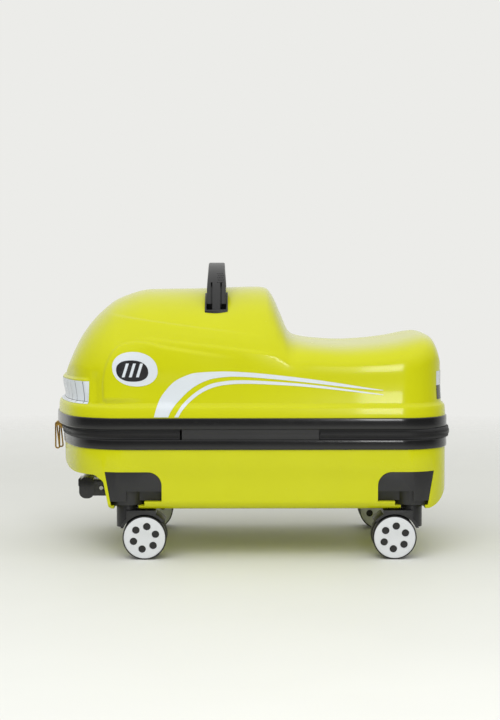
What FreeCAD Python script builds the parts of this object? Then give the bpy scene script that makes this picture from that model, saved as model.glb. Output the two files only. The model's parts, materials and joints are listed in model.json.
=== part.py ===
import FreeCAD
import Part
import math
import os

# Ride-on suitcase, in millimetres. X runs along the case with the nose at -X, the hinge is on the
# -Y side, Z is up and the floor is z = 0. The origin is on the floor, under the middle of the case.

# Case, seen from above
case_length = 456.0
case_width = 280.0
bow_radius = 260.0
front_corner_radius = 70.0
rear_corner_radius = 55.0
base_setback = 7.0
shell_wall = 2.5
fit_gap = 0.15
seat_gap = 0.3

# Closure band between the two shells
trim_wall = 1.5
trim_lip = 2.5
trim_lip_depth = 12.0
lower_trim_height = 11.5
upper_trim_height = 13.0
zip_gap = 11.5
zip_tape_inset = 2.5
zip_tape_thickness = 2.5
zip_bead_height = 2.3
zip_bead_proud = 1.0
zip_meeting_gap = 0.3
zip_rear_bulge = 4.5
strip_length = 155.0
strip_middle_x = 1.0
strip_inset = 1.2
strip_thickness = 1.5

# Lid
skirt_height = 13.0
ledge_depth = 3.0
side_draft = 3.5
shoulder_rise = 43.0
shoulder_margin = 12.0
dome_roundness = 2.4
seat_roundness = 4.0
# Distance behind the nose, height above the band: from the grille up over the dome to the seat
hood_profile = [
    (7.5, 28.0), (19.0, 64.0), (33.0, 92.0), (51.0, 114.0), (75.0, 132.0), (111.0, 142.0),
    (168.0, 143.0), (238.0, 145.0), (248.0, 143.5), (255.0, 136.0), (266.0, 112.0), (274.0, 94.0),
    (282.0, 86.5),
]
# Share of the way from the tail to the dome, height above the band: along the seat
seat_profile = [(0.85, 82.0), (0.62, 80.0), (0.41, 81.5), (0.22, 85.0), (0.07, 90.0)]
# Distance ahead of the rear end, height above the band: over the tail
tail_profile = [(28.0, 91.0), (20.0, 87.0), (13.0, 76.0), (9.0, 62.0), (6.5, 46.0), (5.5, 33.0)]
# Where the cross sections stand: from the nose of each skin, as shares of the seat, from each rear end
front_stations = [1.2, 4.0, 9.0, 16.0, 26.0, 40.0, 60.0, 90.0, 130.0, 175.0, 215.0, 234.0, 243.0,
                  250.0, 258.0, 267.0, 278.0]
seat_stations = [0.86, 0.70, 0.48, 0.26, 0.12]
rear_stations = [24.0, 15.0, 9.0, 5.0, 2.5, 1.0]
lining_gap = 3.0
lining_thickness = 1.0
lining_end_gap = 9.0

# Base shell
base_depth = 68.5
base_taper = 3.0
base_edge_radius = 12.0
tail_radius = 29.0
chin_drop = 34.0
chin_radius = 20.0
chin_length = 61.5
bay_lean = 7.0
bay_corner_radius = 6.0

# Casters
wheel_diameter = 50.0
wheel_width = 15.5
tyre_round = 1.0
caster_inset = 28.0
front_caster_setback = 88.0
rear_caster_setback = 42.5
caster_trail = 20.5
wheel_guard_gap = 1.5
guard_thickness = 4.5
guard_overhang = 13.0
guard_round = 29.5
swivel_relief_depth = 0.5
swivel_relief_room = 3.0
fork_neck_diameter = 24.0
fork_neck_height = 5.8
fork_web = 8.0
fork_tip_drop = 20.0
wheel_side_gap = 0.5
swivel_gap = 0.5
swivel_pin_diameter = 8.0
swivel_head_diameter = 11.0
swivel_head_height = 3.0
axle_diameter = 6.0
running_gap = 0.05
press_gap = 0.02
cap_thickness = 2.0
cap_rim = 1.4
cap_hole_diameter = 8.4
cap_hole_circle = 26.2
cap_hole_count = 6
cap_hole_turn = 12.0
tyre_recess = 4.0
housing_length = 64.0
housing_height = 38.0
housing_inset = 53.0
housing_corner_radius = 16.0
housing_lean = 8.0
housing_wall = 3.0
housing_overlap = 24.0
boss_diameter = 41.0
boss_height = 24.0
recess_height = 11.5
recess_depth = 14.0
shell_below_housing = 4.8
pocket_gap = 0.3
neck_room = 2.0

# Screws
screw_diameter = 4.0
screw_head_diameter = 8.0
screw_head_height = 2.4
screw_recess_width = 1.0
screw_recess_depth = 0.6
caster_screw_spread = 32.0
caster_screw_inset = 10.0
handle_screw_length = 3.6

# Trolley
trolley_tube_spacing = 100.0
trolley_axis_height = 15.5
outer_tube_diameter = 18.0
tube_wall = 1.0
tube_gap = 0.25
tube_rear_room = 49.0
tube_end_step = 6.0
bushing_diameter = 23.0
bushing_length = 14.0
clamp_length = 12.0
clamp_margin = 14.0
clamp_height = 24.0
cover_margin = 22.0
cover_height = 27.5
cover_wall = 2.0
grip_overhang = 12.0
grip_depth = 18.0
grip_height = 25.0
grip_round = 8.0
grip_socket_length = 16.0
grip_socket_width = 20.0
grip_socket_height = 19.0
grip_to_wall = 0.6
grip_screw_head = 4.4
grip_screw_diameter = 2.0
button_length = 28.0
button_height = 10.0
button_proud = 5.0
button_travel = 4.0
button_depth = 7.0
button_round = 2.0
lock_bar = 6.0
lock_rod_diameter = 4.0
lock_rod_length = 60.0

# Carry handle
handle_setback = 190.0
handle_side_setback = 50.0
handle_thickness = 6.0
handle_end_width = 22.0
handle_top_width = 19.0
handle_waist_rise = 32.0
handle_gap_over_dome = 24.0
handle_sink = 17.0
handle_roundness = 2.4
handle_tongue_width = 9.0
handle_slit_width = 2.0
handle_slit_length = 45.0
handle_prong_rise = 20.0
cup_length = 45.5
cup_wall = 1.8
cup_floor = 2.5
cup_outer_margin = 6.0
cup_flange = 8.0
cup_flange_thickness = 2.0
cup_flange_gap = 0.4

# Zip sliders and pulls
slider_width = 9.0
slider_height = 9.5
slider_plate = 1.6
slider_hook = 0.7
slider_spacing = 14.0
lug_margin = 1.0
pull_swing_gap = 1.0
lug_thickness = 1.4
lug_height = 4.0
pull_pin_diameter = 1.6
pull_wire = 1.8
pull_length = 31.0
pull_width = 4.6
far_pull_tilt = 6.0

# Heights worked out from the floor up
half_length = case_length / 2
half_width = case_width / 2
nose_x = -half_length
wheel_radius = wheel_diameter / 2
wheel_pair_half = fork_web / 2 + wheel_side_gap + wheel_width
swivel_relief_radius = math.hypot(caster_trail + guard_round, wheel_pair_half) + swivel_relief_room
guard_top = wheel_diameter + wheel_guard_gap + guard_thickness
fork_top = guard_top + fork_neck_height
housing_bottom = fork_top + swivel_gap
housing_top = housing_bottom + housing_height
base_bottom = housing_bottom - shell_below_housing
lower_trim_bottom = base_bottom + base_depth
lower_trim_top = lower_trim_bottom + lower_trim_height
upper_trim_bottom = lower_trim_top + zip_gap
band_top = upper_trim_bottom + upper_trim_height
hinge_z = (lower_trim_top + upper_trim_bottom) / 2
floor_inside = base_bottom + shell_wall
skirt_top = band_top + skirt_height
lid_rim = upper_trim_bottom + trim_lip
base_rim = lower_trim_top - trim_lip
body_inset = trim_wall + ledge_depth
bow_x = nose_x + bow_radius
zip_setback = base_setback / 2
trolley_y = trolley_tube_spacing / 2
trolley_z = base_bottom + trolley_axis_height
caster_y = half_width - caster_inset
front_caster_x = nose_x + front_caster_setback
rear_caster_x = half_length - rear_caster_setback
chin_z = lower_trim_bottom - chin_drop
bay_x = nose_x + chin_length
handle_x = nose_x + handle_setback
handle_span = case_width - 2 * handle_side_setback
dome_end_x = nose_x + hood_profile[-1][0]
tail_start_x = half_length - tail_profile[0][0]

# Cutting tools reach far past the case, or a little past the face that they open
far = 2 * case_length
overcut = 1.0


def vec(x, y, z):
    return FreeCAD.Vector(x, y, z)


def box(x0, x1, y0, y1, z0, z1):
    return Part.makeBox(x1 - x0, y1 - y0, z1 - z0, vec(x0, y0, z0))


def rod(radius, start, end):
    return Part.makeCylinder(radius, (end - start).Length, start, end - start)


def tube(outer, inner, start, end):
    return rod(outer, start, end).cut(rod(inner, start, end))


def fused(shapes):
    whole = shapes[0].fuse(shapes[1:])
    return whole.removeSplitter()


def across(shape):
    """The same piece on the other side of the case."""
    return shape.mirror(vec(0, 0, 0), vec(0, 1, 0))


def export(name, shapes):
    solids = [solid for shape in shapes for solid in shape.Solids]
    Part.makeCompound(solids).exportStep("parts/" + name + ".step")
    print(name, len(solids), "solids", round(sum(solid.Volume for solid in solids) / 1000, 2), "cm3")


def in_side_view(u, v):
    return vec(u, 0, v)


def in_end_view(u, v):
    return vec(0, u, v)


def rounded_wire(corners, place, inset=0.0):
    """Closed wire through anticlockwise (u, v, radius) corners, moved inwards by inset."""
    count = len(corners)
    sides = []
    for i in range(count):
        u0, v0 = corners[i][:2]
        u1, v1 = corners[(i + 1) % count][:2]
        length = math.hypot(u1 - u0, v1 - v0)
        du, dv = (u1 - u0) / length, (v1 - v0) / length
        sides.append((u0 - dv * inset, v0 + du * inset, du, dv))
    starts, middles, ends = [], [], []
    for i in range(count):
        pu, pv, du0, dv0 = sides[i - 1]
        qu, qv, du1, dv1 = sides[i]
        cross = du0 * dv1 - dv0 * du1
        along = ((qu - pu) * dv1 - (qv - pv) * du1) / cross
        u, v = pu + du0 * along, pv + dv0 * along
        radius = corners[i][2] - math.copysign(inset, cross) if corners[i][2] > 0 else 0.0
        if radius <= 0:
            starts.append((u, v))
            middles.append(None)
            ends.append((u, v))
            continue
        turn = math.atan2(abs(cross), du0 * du1 + dv0 * dv1)
        reach = radius * math.tan(turn / 2)
        bu, bv = du1 - du0, dv1 - dv0
        size = math.hypot(bu, bv)
        sag = radius / math.cos(turn / 2) - radius
        starts.append((u - du0 * reach, v - dv0 * reach))
        middles.append((u + bu / size * sag, v + bv / size * sag))
        ends.append((u + du1 * reach, v + dv1 * reach))
    edges = []
    for i in range(count):
        if middles[i]:
            points = [place(*p) for p in (starts[i], middles[i], ends[i])]
            edges.append(Part.Arc(*points).toShape())
        start, end = place(*ends[i]), place(*starts[(i + 1) % count])
        if (end - start).Length > 1e-6:
            edges.append(Part.LineSegment(start, end).toShape())
    return Part.Wire(Part.__sortEdges__(edges))


def side_view_prism(corners, y0, y1, inset=0.0):
    face = Part.Face(rounded_wire(corners, in_side_view, inset))
    face.translate(vec(0, y0, 0))
    return face.extrude(vec(0, y1 - y0, 0))


def end_view_prism(corners, x0, x1, inset=0.0):
    face = Part.Face(rounded_wire(corners, in_end_view, inset))
    face.translate(vec(x0, 0, 0))
    return face.extrude(vec(x1 - x0, 0, 0))


# The case outline seen from above: a bowed nose, two front corners, two sides and a square tail

def front_corner_x(setback=0.0):
    reach = bow_radius - setback - front_corner_radius
    return bow_x - math.sqrt(reach ** 2 - (half_width - front_corner_radius) ** 2)


def outline(inset, z, setback=0.0, bulge=0.0):
    """The outline at height z, inset all round, its nose set back and its tail bulged out."""
    bow = bow_radius - setback - inset
    corner_x = front_corner_x(setback)
    corner_y = half_width - front_corner_radius
    corner = front_corner_radius - inset
    tail_x = half_length + bulge - rear_corner_radius
    tail_y = half_width - rear_corner_radius
    tail = rear_corner_radius - inset
    side = half_width - inset
    meet = math.atan2(corner_y, corner_x - bow_x)
    half_turn = (meet + math.pi / 2) / 2

    def on_bow(sign):
        return vec(bow_x + bow * math.cos(meet), sign * bow * math.sin(meet), z)

    def on_corner(sign):
        x = corner_x + corner * math.cos(half_turn)
        return vec(x, sign * (corner_y + corner * math.sin(half_turn)), z)

    def on_tail(sign, angle):
        x = tail_x + tail * math.cos(angle)
        return vec(x, sign * (tail_y + tail * math.sin(angle)), z)

    edges = [Part.Arc(on_bow(1), vec(bow_x - bow, 0, z), on_bow(-1))]
    edges.append(Part.Arc(on_bow(-1), on_corner(-1), vec(corner_x, -side, z)))
    edges.append(Part.LineSegment(vec(corner_x, -side, z), on_tail(-1, math.pi / 2)))
    edges.append(Part.Arc(on_tail(-1, math.pi / 2), on_tail(-1, math.pi / 4), on_tail(-1, 0)))
    edges.append(Part.LineSegment(on_tail(-1, 0), on_tail(1, 0)))
    edges.append(Part.Arc(on_tail(1, 0), on_tail(1, math.pi / 4), on_tail(1, math.pi / 2)))
    edges.append(Part.LineSegment(on_tail(1, math.pi / 2), vec(corner_x, side, z)))
    edges.append(Part.Arc(vec(corner_x, side, z), on_corner(1), on_bow(1)))
    return Part.Wire([edge.toShape() for edge in edges])


def slab(inset, z0, z1, setback=0.0, bulge=0.0):
    return Part.Face(outline(inset, z0, setback, bulge)).extrude(vec(0, 0, z1 - z0))


def ring(outer, inner, z0, z1, setback=0.0, bulge=0.0):
    return slab(outer, z0, z1, setback, bulge).cut(slab(inner, z0, z1, setback, bulge))


def half_width_at(x, inset):
    """Half the width of the inset outline at a place along the case."""
    tail_x = half_length - rear_corner_radius
    corner_x = front_corner_x()
    if x > tail_x:
        tail = rear_corner_radius - inset
        return half_width - rear_corner_radius + math.sqrt(max(tail ** 2 - (x - tail_x) ** 2, 0.0))
    if x > corner_x:
        return half_width - inset
    corner = front_corner_radius - inset
    corner_y = half_width - front_corner_radius
    meet_x = bow_x + (bow_radius - inset) * (corner_x - bow_x) / math.hypot(corner_x - bow_x, corner_y)
    if x > meet_x:
        return corner_y + math.sqrt(max(corner ** 2 - (x - corner_x) ** 2, 0.0))
    return math.sqrt(max((bow_radius - inset) ** 2 - (x - bow_x) ** 2, 0.0))


# Lid: cross sections along the case, under a crest line over the dome, the seat and the tail

def seat_x(share):
    return tail_start_x + share * (dome_end_x - tail_start_x)


crest_points = [(nose_x + along, band_top + up) for along, up in hood_profile]
crest_points += [(seat_x(share), band_top + up) for share, up in seat_profile]
crest_points += [(half_length - along, band_top + up) for along, up in tail_profile]


def crest_slopes():
    steps = [(b[1] - a[1]) / (b[0] - a[0]) for a, b in zip(crest_points, crest_points[1:])]
    slopes = [steps[0]]
    for before, after in zip(steps, steps[1:]):
        flat = before * after <= 0
        slopes.append(0.0 if flat else 2 * before * after / (before + after))
    return slopes + [steps[-1]]


slopes_at_points = crest_slopes()


def crest_line(x):
    """Height of the outer skin along the middle of the lid."""
    if x <= crest_points[0][0] or x >= crest_points[-1][0]:
        return crest_points[0][1] if x <= crest_points[0][0] else crest_points[-1][1]
    i = max(k for k in range(len(crest_points) - 1) if crest_points[k][0] <= x)
    (x0, z0), (x1, z1) = crest_points[i], crest_points[i + 1]
    width = x1 - x0
    t = (x - x0) / width
    lift = (1 + 2 * t) * (1 - t) ** 2 * z0 + t ** 2 * (3 - 2 * t) * z1
    bend = t * (1 - t) ** 2 * slopes_at_points[i] - t ** 2 * (1 - t) * slopes_at_points[i + 1]
    return lift + bend * width


def crest(x, depth):
    """Height of a skin that lies depth inside the outer one."""
    steps = 6
    heights = [crest_line(x)]
    for k in range(-steps, steps + 1):
        u = depth * k / steps
        heights.append(crest_line(x + u) - math.sqrt(depth ** 2 - u ** 2))
    return min(heights)


def roundness_at(x):
    dome_end = nose_x + hood_profile[-5][0]
    t = min(max((x - dome_end) / (seat_x(seat_profile[0][0]) - dome_end), 0.0), 1.0)
    return dome_roundness + (seat_roundness - dome_roundness) * t * t * (3 - 2 * t)


def section_sizes(x, depth):
    """Half width at the foot and at the shoulder, and heights of the shoulder and the crest."""
    foot = half_width_at(x, body_inset + depth)
    top = crest(x, depth)
    shoulder = min(band_top + shoulder_rise, top - shoulder_margin)
    return foot, max(foot - side_draft, foot / 2), shoulder, top


def skin_height(x, y, depth):
    """Height above the floor of a skin of the lid, over its shoulders."""
    foot, side, shoulder, top = section_sizes(x, depth)
    power = roundness_at(x)
    return shoulder + (top - shoulder) * (1 - (abs(y) / side) ** power) ** (1 / power)


def lid_section(x, depth, bottom):
    """Closed wire across the lid at x, on the skin that lies depth inside the outer one."""
    foot, side, shoulder, top = section_sizes(x, depth)
    power = 2 / roundness_at(x)
    steps = 12
    arch = []
    for k in range(steps + 1):
        angle = math.pi * k / steps
        across = math.copysign(abs(math.cos(angle)) ** power, math.cos(angle))
        arch.append(vec(x, side * across, shoulder + (top - shoulder) * math.sin(angle) ** power))
    arch[-1] = vec(x, -side, shoulder)
    curve = Part.BSplineCurve()
    curve.interpolate(Points=arch, Parameters=[k / steps for k in range(steps + 1)])
    left, right = vec(x, -foot, bottom), vec(x, foot, bottom)
    edges = [Part.LineSegment(left, right).toShape()]
    edges.append(Part.LineSegment(right, arch[0]).toShape())
    edges.append(curve.toShape())
    edges.append(Part.LineSegment(arch[-1], left).toShape())
    return Part.Wire(edges)


def lid_form(depth, bottom, end_gap=0.0):
    """Solid under the skin that lies depth inside the outer one, down to bottom, with blunt ends."""
    start = nose_x + body_inset + depth
    end = half_length - body_inset - depth
    stations = [start + s for s in front_stations if s >= end_gap]
    stations += [seat_x(share) for share in seat_stations]
    stations += [end - s for s in rear_stations if s >= end_gap]
    return Part.makeLoft([lid_section(x, depth, bottom) for x in stations], True, False)


def dome_slice(depth, x0, x1):
    """Short stretch of the lid form across the dome, where the carry handle stands."""
    steps = 4
    stations = [x0 + (x1 - x0) * k / steps for k in range(steps + 1)]
    return Part.makeLoft([lid_section(x, depth, band_top) for x in stations], True, False)


# Carry handle: an arch across the dome whose slit legs slide in two cups

arch_top = crest_line(handle_x) + handle_gap_over_dome + handle_thickness
arch_bottom = skin_height(handle_x, handle_span / 2, 0.0) - handle_sink
handle_leg = arch_top - handle_thickness / 2 - arch_bottom


def arch_side(offset):
    """Points of the carry handle's arch, offset from its middle line, from +Y round to -Y."""
    steps = 16
    points = []
    for k in range(steps + 1):
        angle = math.pi * k / steps
        power = 2 / handle_roundness
        y = handle_span / 2 * math.copysign(abs(math.cos(angle)) ** power, math.cos(angle))
        z = arch_bottom + handle_leg * math.sin(angle) ** power
        lean = (handle_roundness - 1) * power
        ny = math.copysign(abs(math.cos(angle)) ** lean / (handle_span / 2), math.cos(angle))
        nz = math.sin(angle) ** lean / handle_leg
        size = math.hypot(ny, nz)
        points.append(vec(0, y + offset * ny / size, z + offset * nz / size))
    return points


def carry_handle():
    outer = Part.BSplineCurve()
    outer.interpolate(arch_side(handle_thickness / 2))
    inner = Part.BSplineCurve()
    inner.interpolate(arch_side(-handle_thickness / 2))
    edges = [outer.toShape(), inner.toShape()]
    edges.append(Part.LineSegment(outer.StartPoint, inner.StartPoint).toShape())
    edges.append(Part.LineSegment(outer.EndPoint, inner.EndPoint).toShape())
    face = Part.Face(Part.Wire(Part.__sortEdges__(edges)))
    face.translate(vec(handle_x - handle_end_width / 2, 0, 0))
    strap = face.extrude(vec(handle_end_width, 0, 0))
    trim = (handle_end_width - handle_top_width) / 2
    waist_low = arch_bottom + handle_waist_rise
    for side in (-1, 1):
        edge = handle_x + side * handle_end_width / 2
        outside = edge + side * overcut
        waist = edge - side * trim
        corners = [(edge, waist_low, 0), (waist, arch_top - handle_thickness, 0),
                   (waist, arch_top + overcut, 0), (outside, arch_top + overcut, 0), (outside, waist_low, 0)]
        corners = corners if side > 0 else corners[::-1]
        strap = strap.cut(side_view_prism(corners, -far, far))
        tongue = handle_x + side * handle_tongue_width / 2
        x0, x1 = sorted((tongue, tongue + side * handle_slit_width))
        strap = strap.cut(box(x0, x1, -far, far, arch_bottom - overcut, arch_bottom + handle_slit_length))
        x0, x1 = sorted((tongue, outside))
        strap = strap.cut(box(x0, x1, -far, far, arch_bottom - overcut, arch_bottom + handle_prong_rise))
    return strap


def handle_cup():
    """Cup let into the near side of the dome for one leg, its hole, its screws and their holes."""
    leg_y = handle_span / 2
    low = -leg_y - handle_thickness / 2 - cup_outer_margin + cup_wall
    high = low + cup_length
    half = handle_end_width / 2 + seat_gap + cup_wall
    floor = arch_bottom - seat_gap - cup_floor
    reach = half + cup_flange
    hole = box(handle_x - half - fit_gap, handle_x + half + fit_gap, low - fit_gap, high + fit_gap,
               floor - fit_gap, far)
    block = box(handle_x - half, handle_x + half, low, high, floor, far)
    block = block.common(dome_slice(0.0, handle_x - reach, handle_x + reach))
    hollow = box(handle_x - half + cup_wall, handle_x + half - cup_wall, low + cup_wall,
                 high - cup_wall, floor + cup_floor, far)
    under = shell_wall + cup_flange_gap
    flange = dome_slice(under, handle_x - reach, handle_x + reach)
    beyond = reach + overcut
    flange = flange.cut(dome_slice(under + cup_flange_thickness, handle_x - beyond, handle_x + beyond))
    flange = flange.common(box(-far, far, low - cup_flange, high + cup_flange, floor, far))
    cup = fused([block, flange]).cut(hollow)
    screws, screw_room = [], []
    for end in (-1, 1):
        x = handle_x + end * (half + cup_flange / 2)
        y = (low + high) / 2
        z = min(skin_height(x, y + edge, under + cup_flange_thickness)
                for edge in (-screw_head_diameter / 2, screw_head_diameter / 2))
        seat = vec(x, y, z)
        screws.append(screw_along(seat, (0, 0, 1), handle_screw_length))
        tip = seat + vec(0, 0, handle_screw_length + fit_gap)
        screw_room.append(rod(screw_diameter / 2 + fit_gap, seat, tip))
        cup = cup.cut(screw_room[-1])
        cup = cup.cut(rod(screw_head_diameter / 2 + fit_gap, seat - vec(0, 0, far), seat))
    return cup, hole, screws, screw_room


def screw_along(point, direction, shank_length, head=screw_head_diameter, thread=screw_diameter):
    """Pan-head screw whose head bears at point and whose shank runs along direction."""
    unit = vec(*direction)
    unit.normalize()
    shank = rod(thread / 2, point, point + unit * shank_length)
    cap = rod(head / 2, point - unit * screw_head_height, point)
    half, arm, deep = screw_recess_width / 2, head / 2 - screw_recess_width, screw_recess_depth
    slot = box(-half, half, -arm, arm, -deep, deep)
    cross = box(-arm, arm, -half, half, -deep, deep)
    recess = slot.fuse(cross)
    turn = FreeCAD.Rotation(vec(0, 0, 1), unit)
    recess.Placement = FreeCAD.Placement(point - unit * screw_head_height, turn)
    return shank.fuse(cap).removeSplitter().cut(recess)


def make_lid():
    skin = lid_form(0.0, band_top)
    skirt = slab(trim_wall + fit_gap, lid_rim, skirt_top)
    inside = [lid_form(shell_wall, lid_rim - overcut)]
    inside.append(slab(trim_wall + shell_wall, lid_rim - overcut, skirt_top - shell_wall))

    rim = ring(0, trim_wall, upper_trim_bottom, band_top)
    lip = ring(0, trim_lip_depth, upper_trim_bottom, lid_rim)
    export("upper_trim", [fused([rim, lip])])

    lining_depth = shell_wall + lining_gap
    cup, hole, near_screws, screw_room = handle_cup()
    bounds = cup.BoundBox
    lining_room = box(bounds.XMin - seat_gap, bounds.XMax + seat_gap, bounds.YMin - seat_gap,
                      bounds.YMax + seat_gap, skirt_top, far)
    openings = [hole] + screw_room
    shell = fused([skirt, skin]).cut(inside + openings + [across(room) for room in openings])
    lining_inside = lid_form(lining_depth + lining_thickness, lid_rim - overcut, lining_end_gap)
    lining = lid_form(lining_depth, lid_rim, lining_end_gap)
    lining = lining.cut([lining_inside, lining_room, across(lining_room)])
    export("upper_shell", [shell])
    export("lid_lining", [lining])
    export("handle_cup_near", [cup])
    export("handle_cup_far", [across(cup)])
    export("handle_screws", near_screws + [across(screw) for screw in near_screws])
    export("carry_handle", [carry_handle()])


# Closure band: zip and hinge strip

def make_band():
    strip_front = strip_middle_x - strip_length / 2
    strip_rear = strip_middle_x + strip_length / 2
    hinge_side = box(strip_front - seat_gap, strip_rear + seat_gap, -far, 0, 0, far)
    outer = zip_tape_inset
    inner = outer + zip_tape_thickness
    proud = outer - zip_bead_proud
    meeting = zip_meeting_gap / 2
    for name, z0, z1 in (("zip_half_lower", lower_trim_top, hinge_z - meeting),
                         ("zip_half_upper", upper_trim_bottom, hinge_z + meeting)):
        low, high = sorted((z0, z1))
        tape = ring(outer, inner, low, high, zip_setback, zip_rear_bulge)
        bead_far = z1 - math.copysign(zip_bead_height, z1 - z0)
        bead_low, bead_high = sorted((bead_far, z1))
        bead = ring(proud, inner, bead_low, bead_high, zip_setback, zip_rear_bulge)
        export(name, [fused([tape, bead]).cut(hinge_side)])
    strip = box(strip_front, strip_rear, -half_width + strip_inset,
                -half_width + strip_inset + strip_thickness, lower_trim_top, upper_trim_bottom)
    export("hinge_strip", [strip])


# Zip sliders with wire-loop pulls, side by side on the nose

def wire_loop(pin_x, y):
    """Loop of wire that hangs on a slider's pin."""
    wire = pull_wire / 2
    bend = pull_width / 2
    top = hinge_z + pull_pin_diameter / 2 + running_gap + wire - bend
    bottom = top - pull_length + 2 * bend
    crown = Part.makeTorus(bend, wire, vec(pin_x, y, top), vec(0, -1, 0), 0, 360)
    foot = Part.makeTorus(bend, wire, vec(pin_x, y, bottom), vec(0, -1, 0), 0, 360)
    pieces = [crown.common(box(-far, far, -far, far, top, far))]
    pieces.append(foot.common(box(-far, far, -far, far, -far, bottom)))
    for x in (pin_x - bend, pin_x + bend):
        pieces.append(rod(wire, vec(x, y, bottom), vec(x, y, top)))
    return fused(pieces)


def make_sliders():
    proud = zip_tape_inset - zip_bead_proud
    bead_edge = hinge_z - zip_meeting_gap / 2 - zip_bead_height
    for name, y, tilt in (("near", -slider_spacing / 2, 0.0), ("far", slider_spacing / 2, far_pull_tilt)):
        band = box(-far, 0, y - slider_width / 2, y + slider_width / 2, 0, far)
        plate = ring(proud - seat_gap - slider_plate, proud - seat_gap, hinge_z - slider_height / 2,
                     hinge_z + slider_height / 2, zip_setback, zip_rear_bulge)
        hook = ring(proud - seat_gap - slider_plate / 2, proud + slider_hook, hinge_z - slider_height / 2,
                    bead_edge - seat_gap, zip_setback, zip_rear_bulge)
        body = fused([plate.common(band), hook.common(band)])
        face_x = nose_x + zip_setback + proud - seat_gap - slider_plate
        pin_x = face_x - pull_width / 2 - pull_wire / 2 - pull_swing_gap
        lug_end = pin_x - pull_pin_diameter / 2 - lug_margin
        lug_y = pull_wire / 2 + seat_gap
        lugs = []
        for side in (-1, 1):
            near_y, far_y = sorted((y + side * lug_y, y + side * (lug_y + lug_thickness)))
            lugs.append(box(lug_end, face_x + slider_plate / 2, near_y, far_y,
                            hinge_z - lug_height / 2, hinge_z + lug_height / 2))
        pin_end = lug_y + lug_thickness / 2
        pin_ends = vec(pin_x, y - pin_end, hinge_z), vec(pin_x, y + pin_end, hinge_z)
        lugs.append(rod(pull_pin_diameter / 2, *pin_ends))
        export("zip_slider_" + name, [fused([body] + lugs)])

        loop = wire_loop(pin_x, y)
        loop.rotate(vec(pin_x, y, hinge_z), vec(0, -1, 0), tilt)
        export("zip_pull_" + name, [loop])


# Base shell with its chin, its bay for the stowed trolley and its four caster pockets

def base_form(depth):
    """The base moulding, or the space that lies depth inside it."""
    top = base_rim + (overcut if depth else 0)
    brim = top + depth + overcut
    front = nose_x + base_setback + trim_wall
    rear = half_length - trim_wall
    profile = [
        (bay_x + bay_lean, base_bottom, bay_corner_radius),
        (rear, base_bottom, tail_radius),
        (rear, brim, 0),
        (front, brim, 0),
        (front, chin_z, chin_radius),
        (bay_x, chin_z, bay_corner_radius),
    ]
    section = [
        (-half_width + trim_wall + base_taper, base_bottom, base_edge_radius),
        (half_width - trim_wall - base_taper, base_bottom, base_edge_radius),
        (half_width - trim_wall, brim, 0),
        (-half_width + trim_wall, brim, 0),
    ]
    form = slab(trim_wall + fit_gap + depth, base_bottom - overcut, top, base_setback)
    form = form.common(side_view_prism(profile, -far, far, depth))
    return form.common(end_view_prism(section, -far, far, depth))


def bay_wall_x(z):
    """Where the leaning wall behind the stowed grip stands at height z."""
    return bay_x + bay_lean * (chin_z - z) / (chin_z - base_bottom)


def pocket_block(x, end, side, gap, low):
    """The room for one caster housing, grown by gap; end is the case end that it stands near."""
    outer = x + end * housing_overlap
    inner = outer - end * housing_length
    lean = housing_lean * (housing_top - low) / (housing_top - base_bottom)
    corners = [(outer - end * lean, low, 0), (outer, housing_top, 0),
               (inner, housing_top, housing_corner_radius), (inner, low, 0)]
    if end < 0:
        corners = corners[::-1]
    inside = side * (half_width - housing_inset - gap)
    y0, y1 = sorted((inside, side * (half_width + overcut)))
    return side_view_prism(corners, y0, y1, -gap)


def pocket(x, y, end, side):
    """What one caster takes out of the shell: the housing's seat and a slot for the fork's neck."""
    seat_low = housing_bottom + shell_below_housing
    seat = pocket_block(x, end, side, pocket_gap, seat_low)
    boss_edge = x - end * (boss_diameter / 2 + pocket_gap)
    x0, x1 = sorted((boss_edge, end * far))
    boss_seat = pocket_block(x, end, side, pocket_gap, housing_bottom)
    boss_seat = boss_seat.common(box(x0, x1, -far, far, 0, far))
    half_slot = fork_neck_diameter / 2 + neck_room
    y0, y1 = sorted((y, side * far))
    slot = box(x - half_slot, x + half_slot, y0, y1, 0, housing_bottom)
    slot_end = rod(half_slot, vec(x, y, 0), vec(x, y, housing_bottom))
    return fused([seat, boss_seat, slot, slot_end])


def caster_places():
    for end, end_name, x in ((-1, "front", front_caster_x), (1, "rear", rear_caster_x)):
        for side, side_name in ((-1, "near"), (1, "far")):
            yield end, side, x, side * caster_y, end_name + "_" + side_name


def caster_housing(x, y, end, side, outer, inner, screw_holes):
    """Moulded housing over one caster, with a boss for the swivel pin."""
    boss_top = housing_bottom + boss_height
    hollow = pocket_block(x, end, side, -housing_wall, base_bottom - overcut).common(inner)
    cover_form = pocket_block(x, end, side, 0.0, housing_bottom + shell_below_housing).common(outer)
    cover = cover_form.cut(hollow)
    shelf = pocket_block(x, end, side, 0.0, boss_top - housing_wall).common(outer)
    shelf = shelf.common(box(-far, far, -far, far, 0, boss_top))
    boss = rod(boss_diameter / 2, vec(x, y, housing_bottom), vec(x, y, boss_top))
    bore = rod(swivel_pin_diameter / 2 + running_gap, vec(x, y, 0), vec(x, y, boss_top + overcut))
    boss = boss.common(pocket_block(x, end, side, 0.0, housing_bottom))
    recess_y = half_width - recess_depth
    recess_top = housing_bottom + shell_below_housing + recess_height
    x0, x1 = sorted((x, x + end * (housing_overlap - housing_length)))
    y0, y1 = sorted((side * recess_y, side * far))
    recess = box(x0, x1, y0, y1, 0, recess_top).cut(boss)
    y0, y1 = sorted((side * (recess_y - housing_wall), side * far))
    backing = box(x0, x1, y0, y1, 0, recess_top + housing_wall).common(cover_form)
    return fused([cover, shelf, boss, backing]).cut([recess, bore] + screw_holes)


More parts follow.
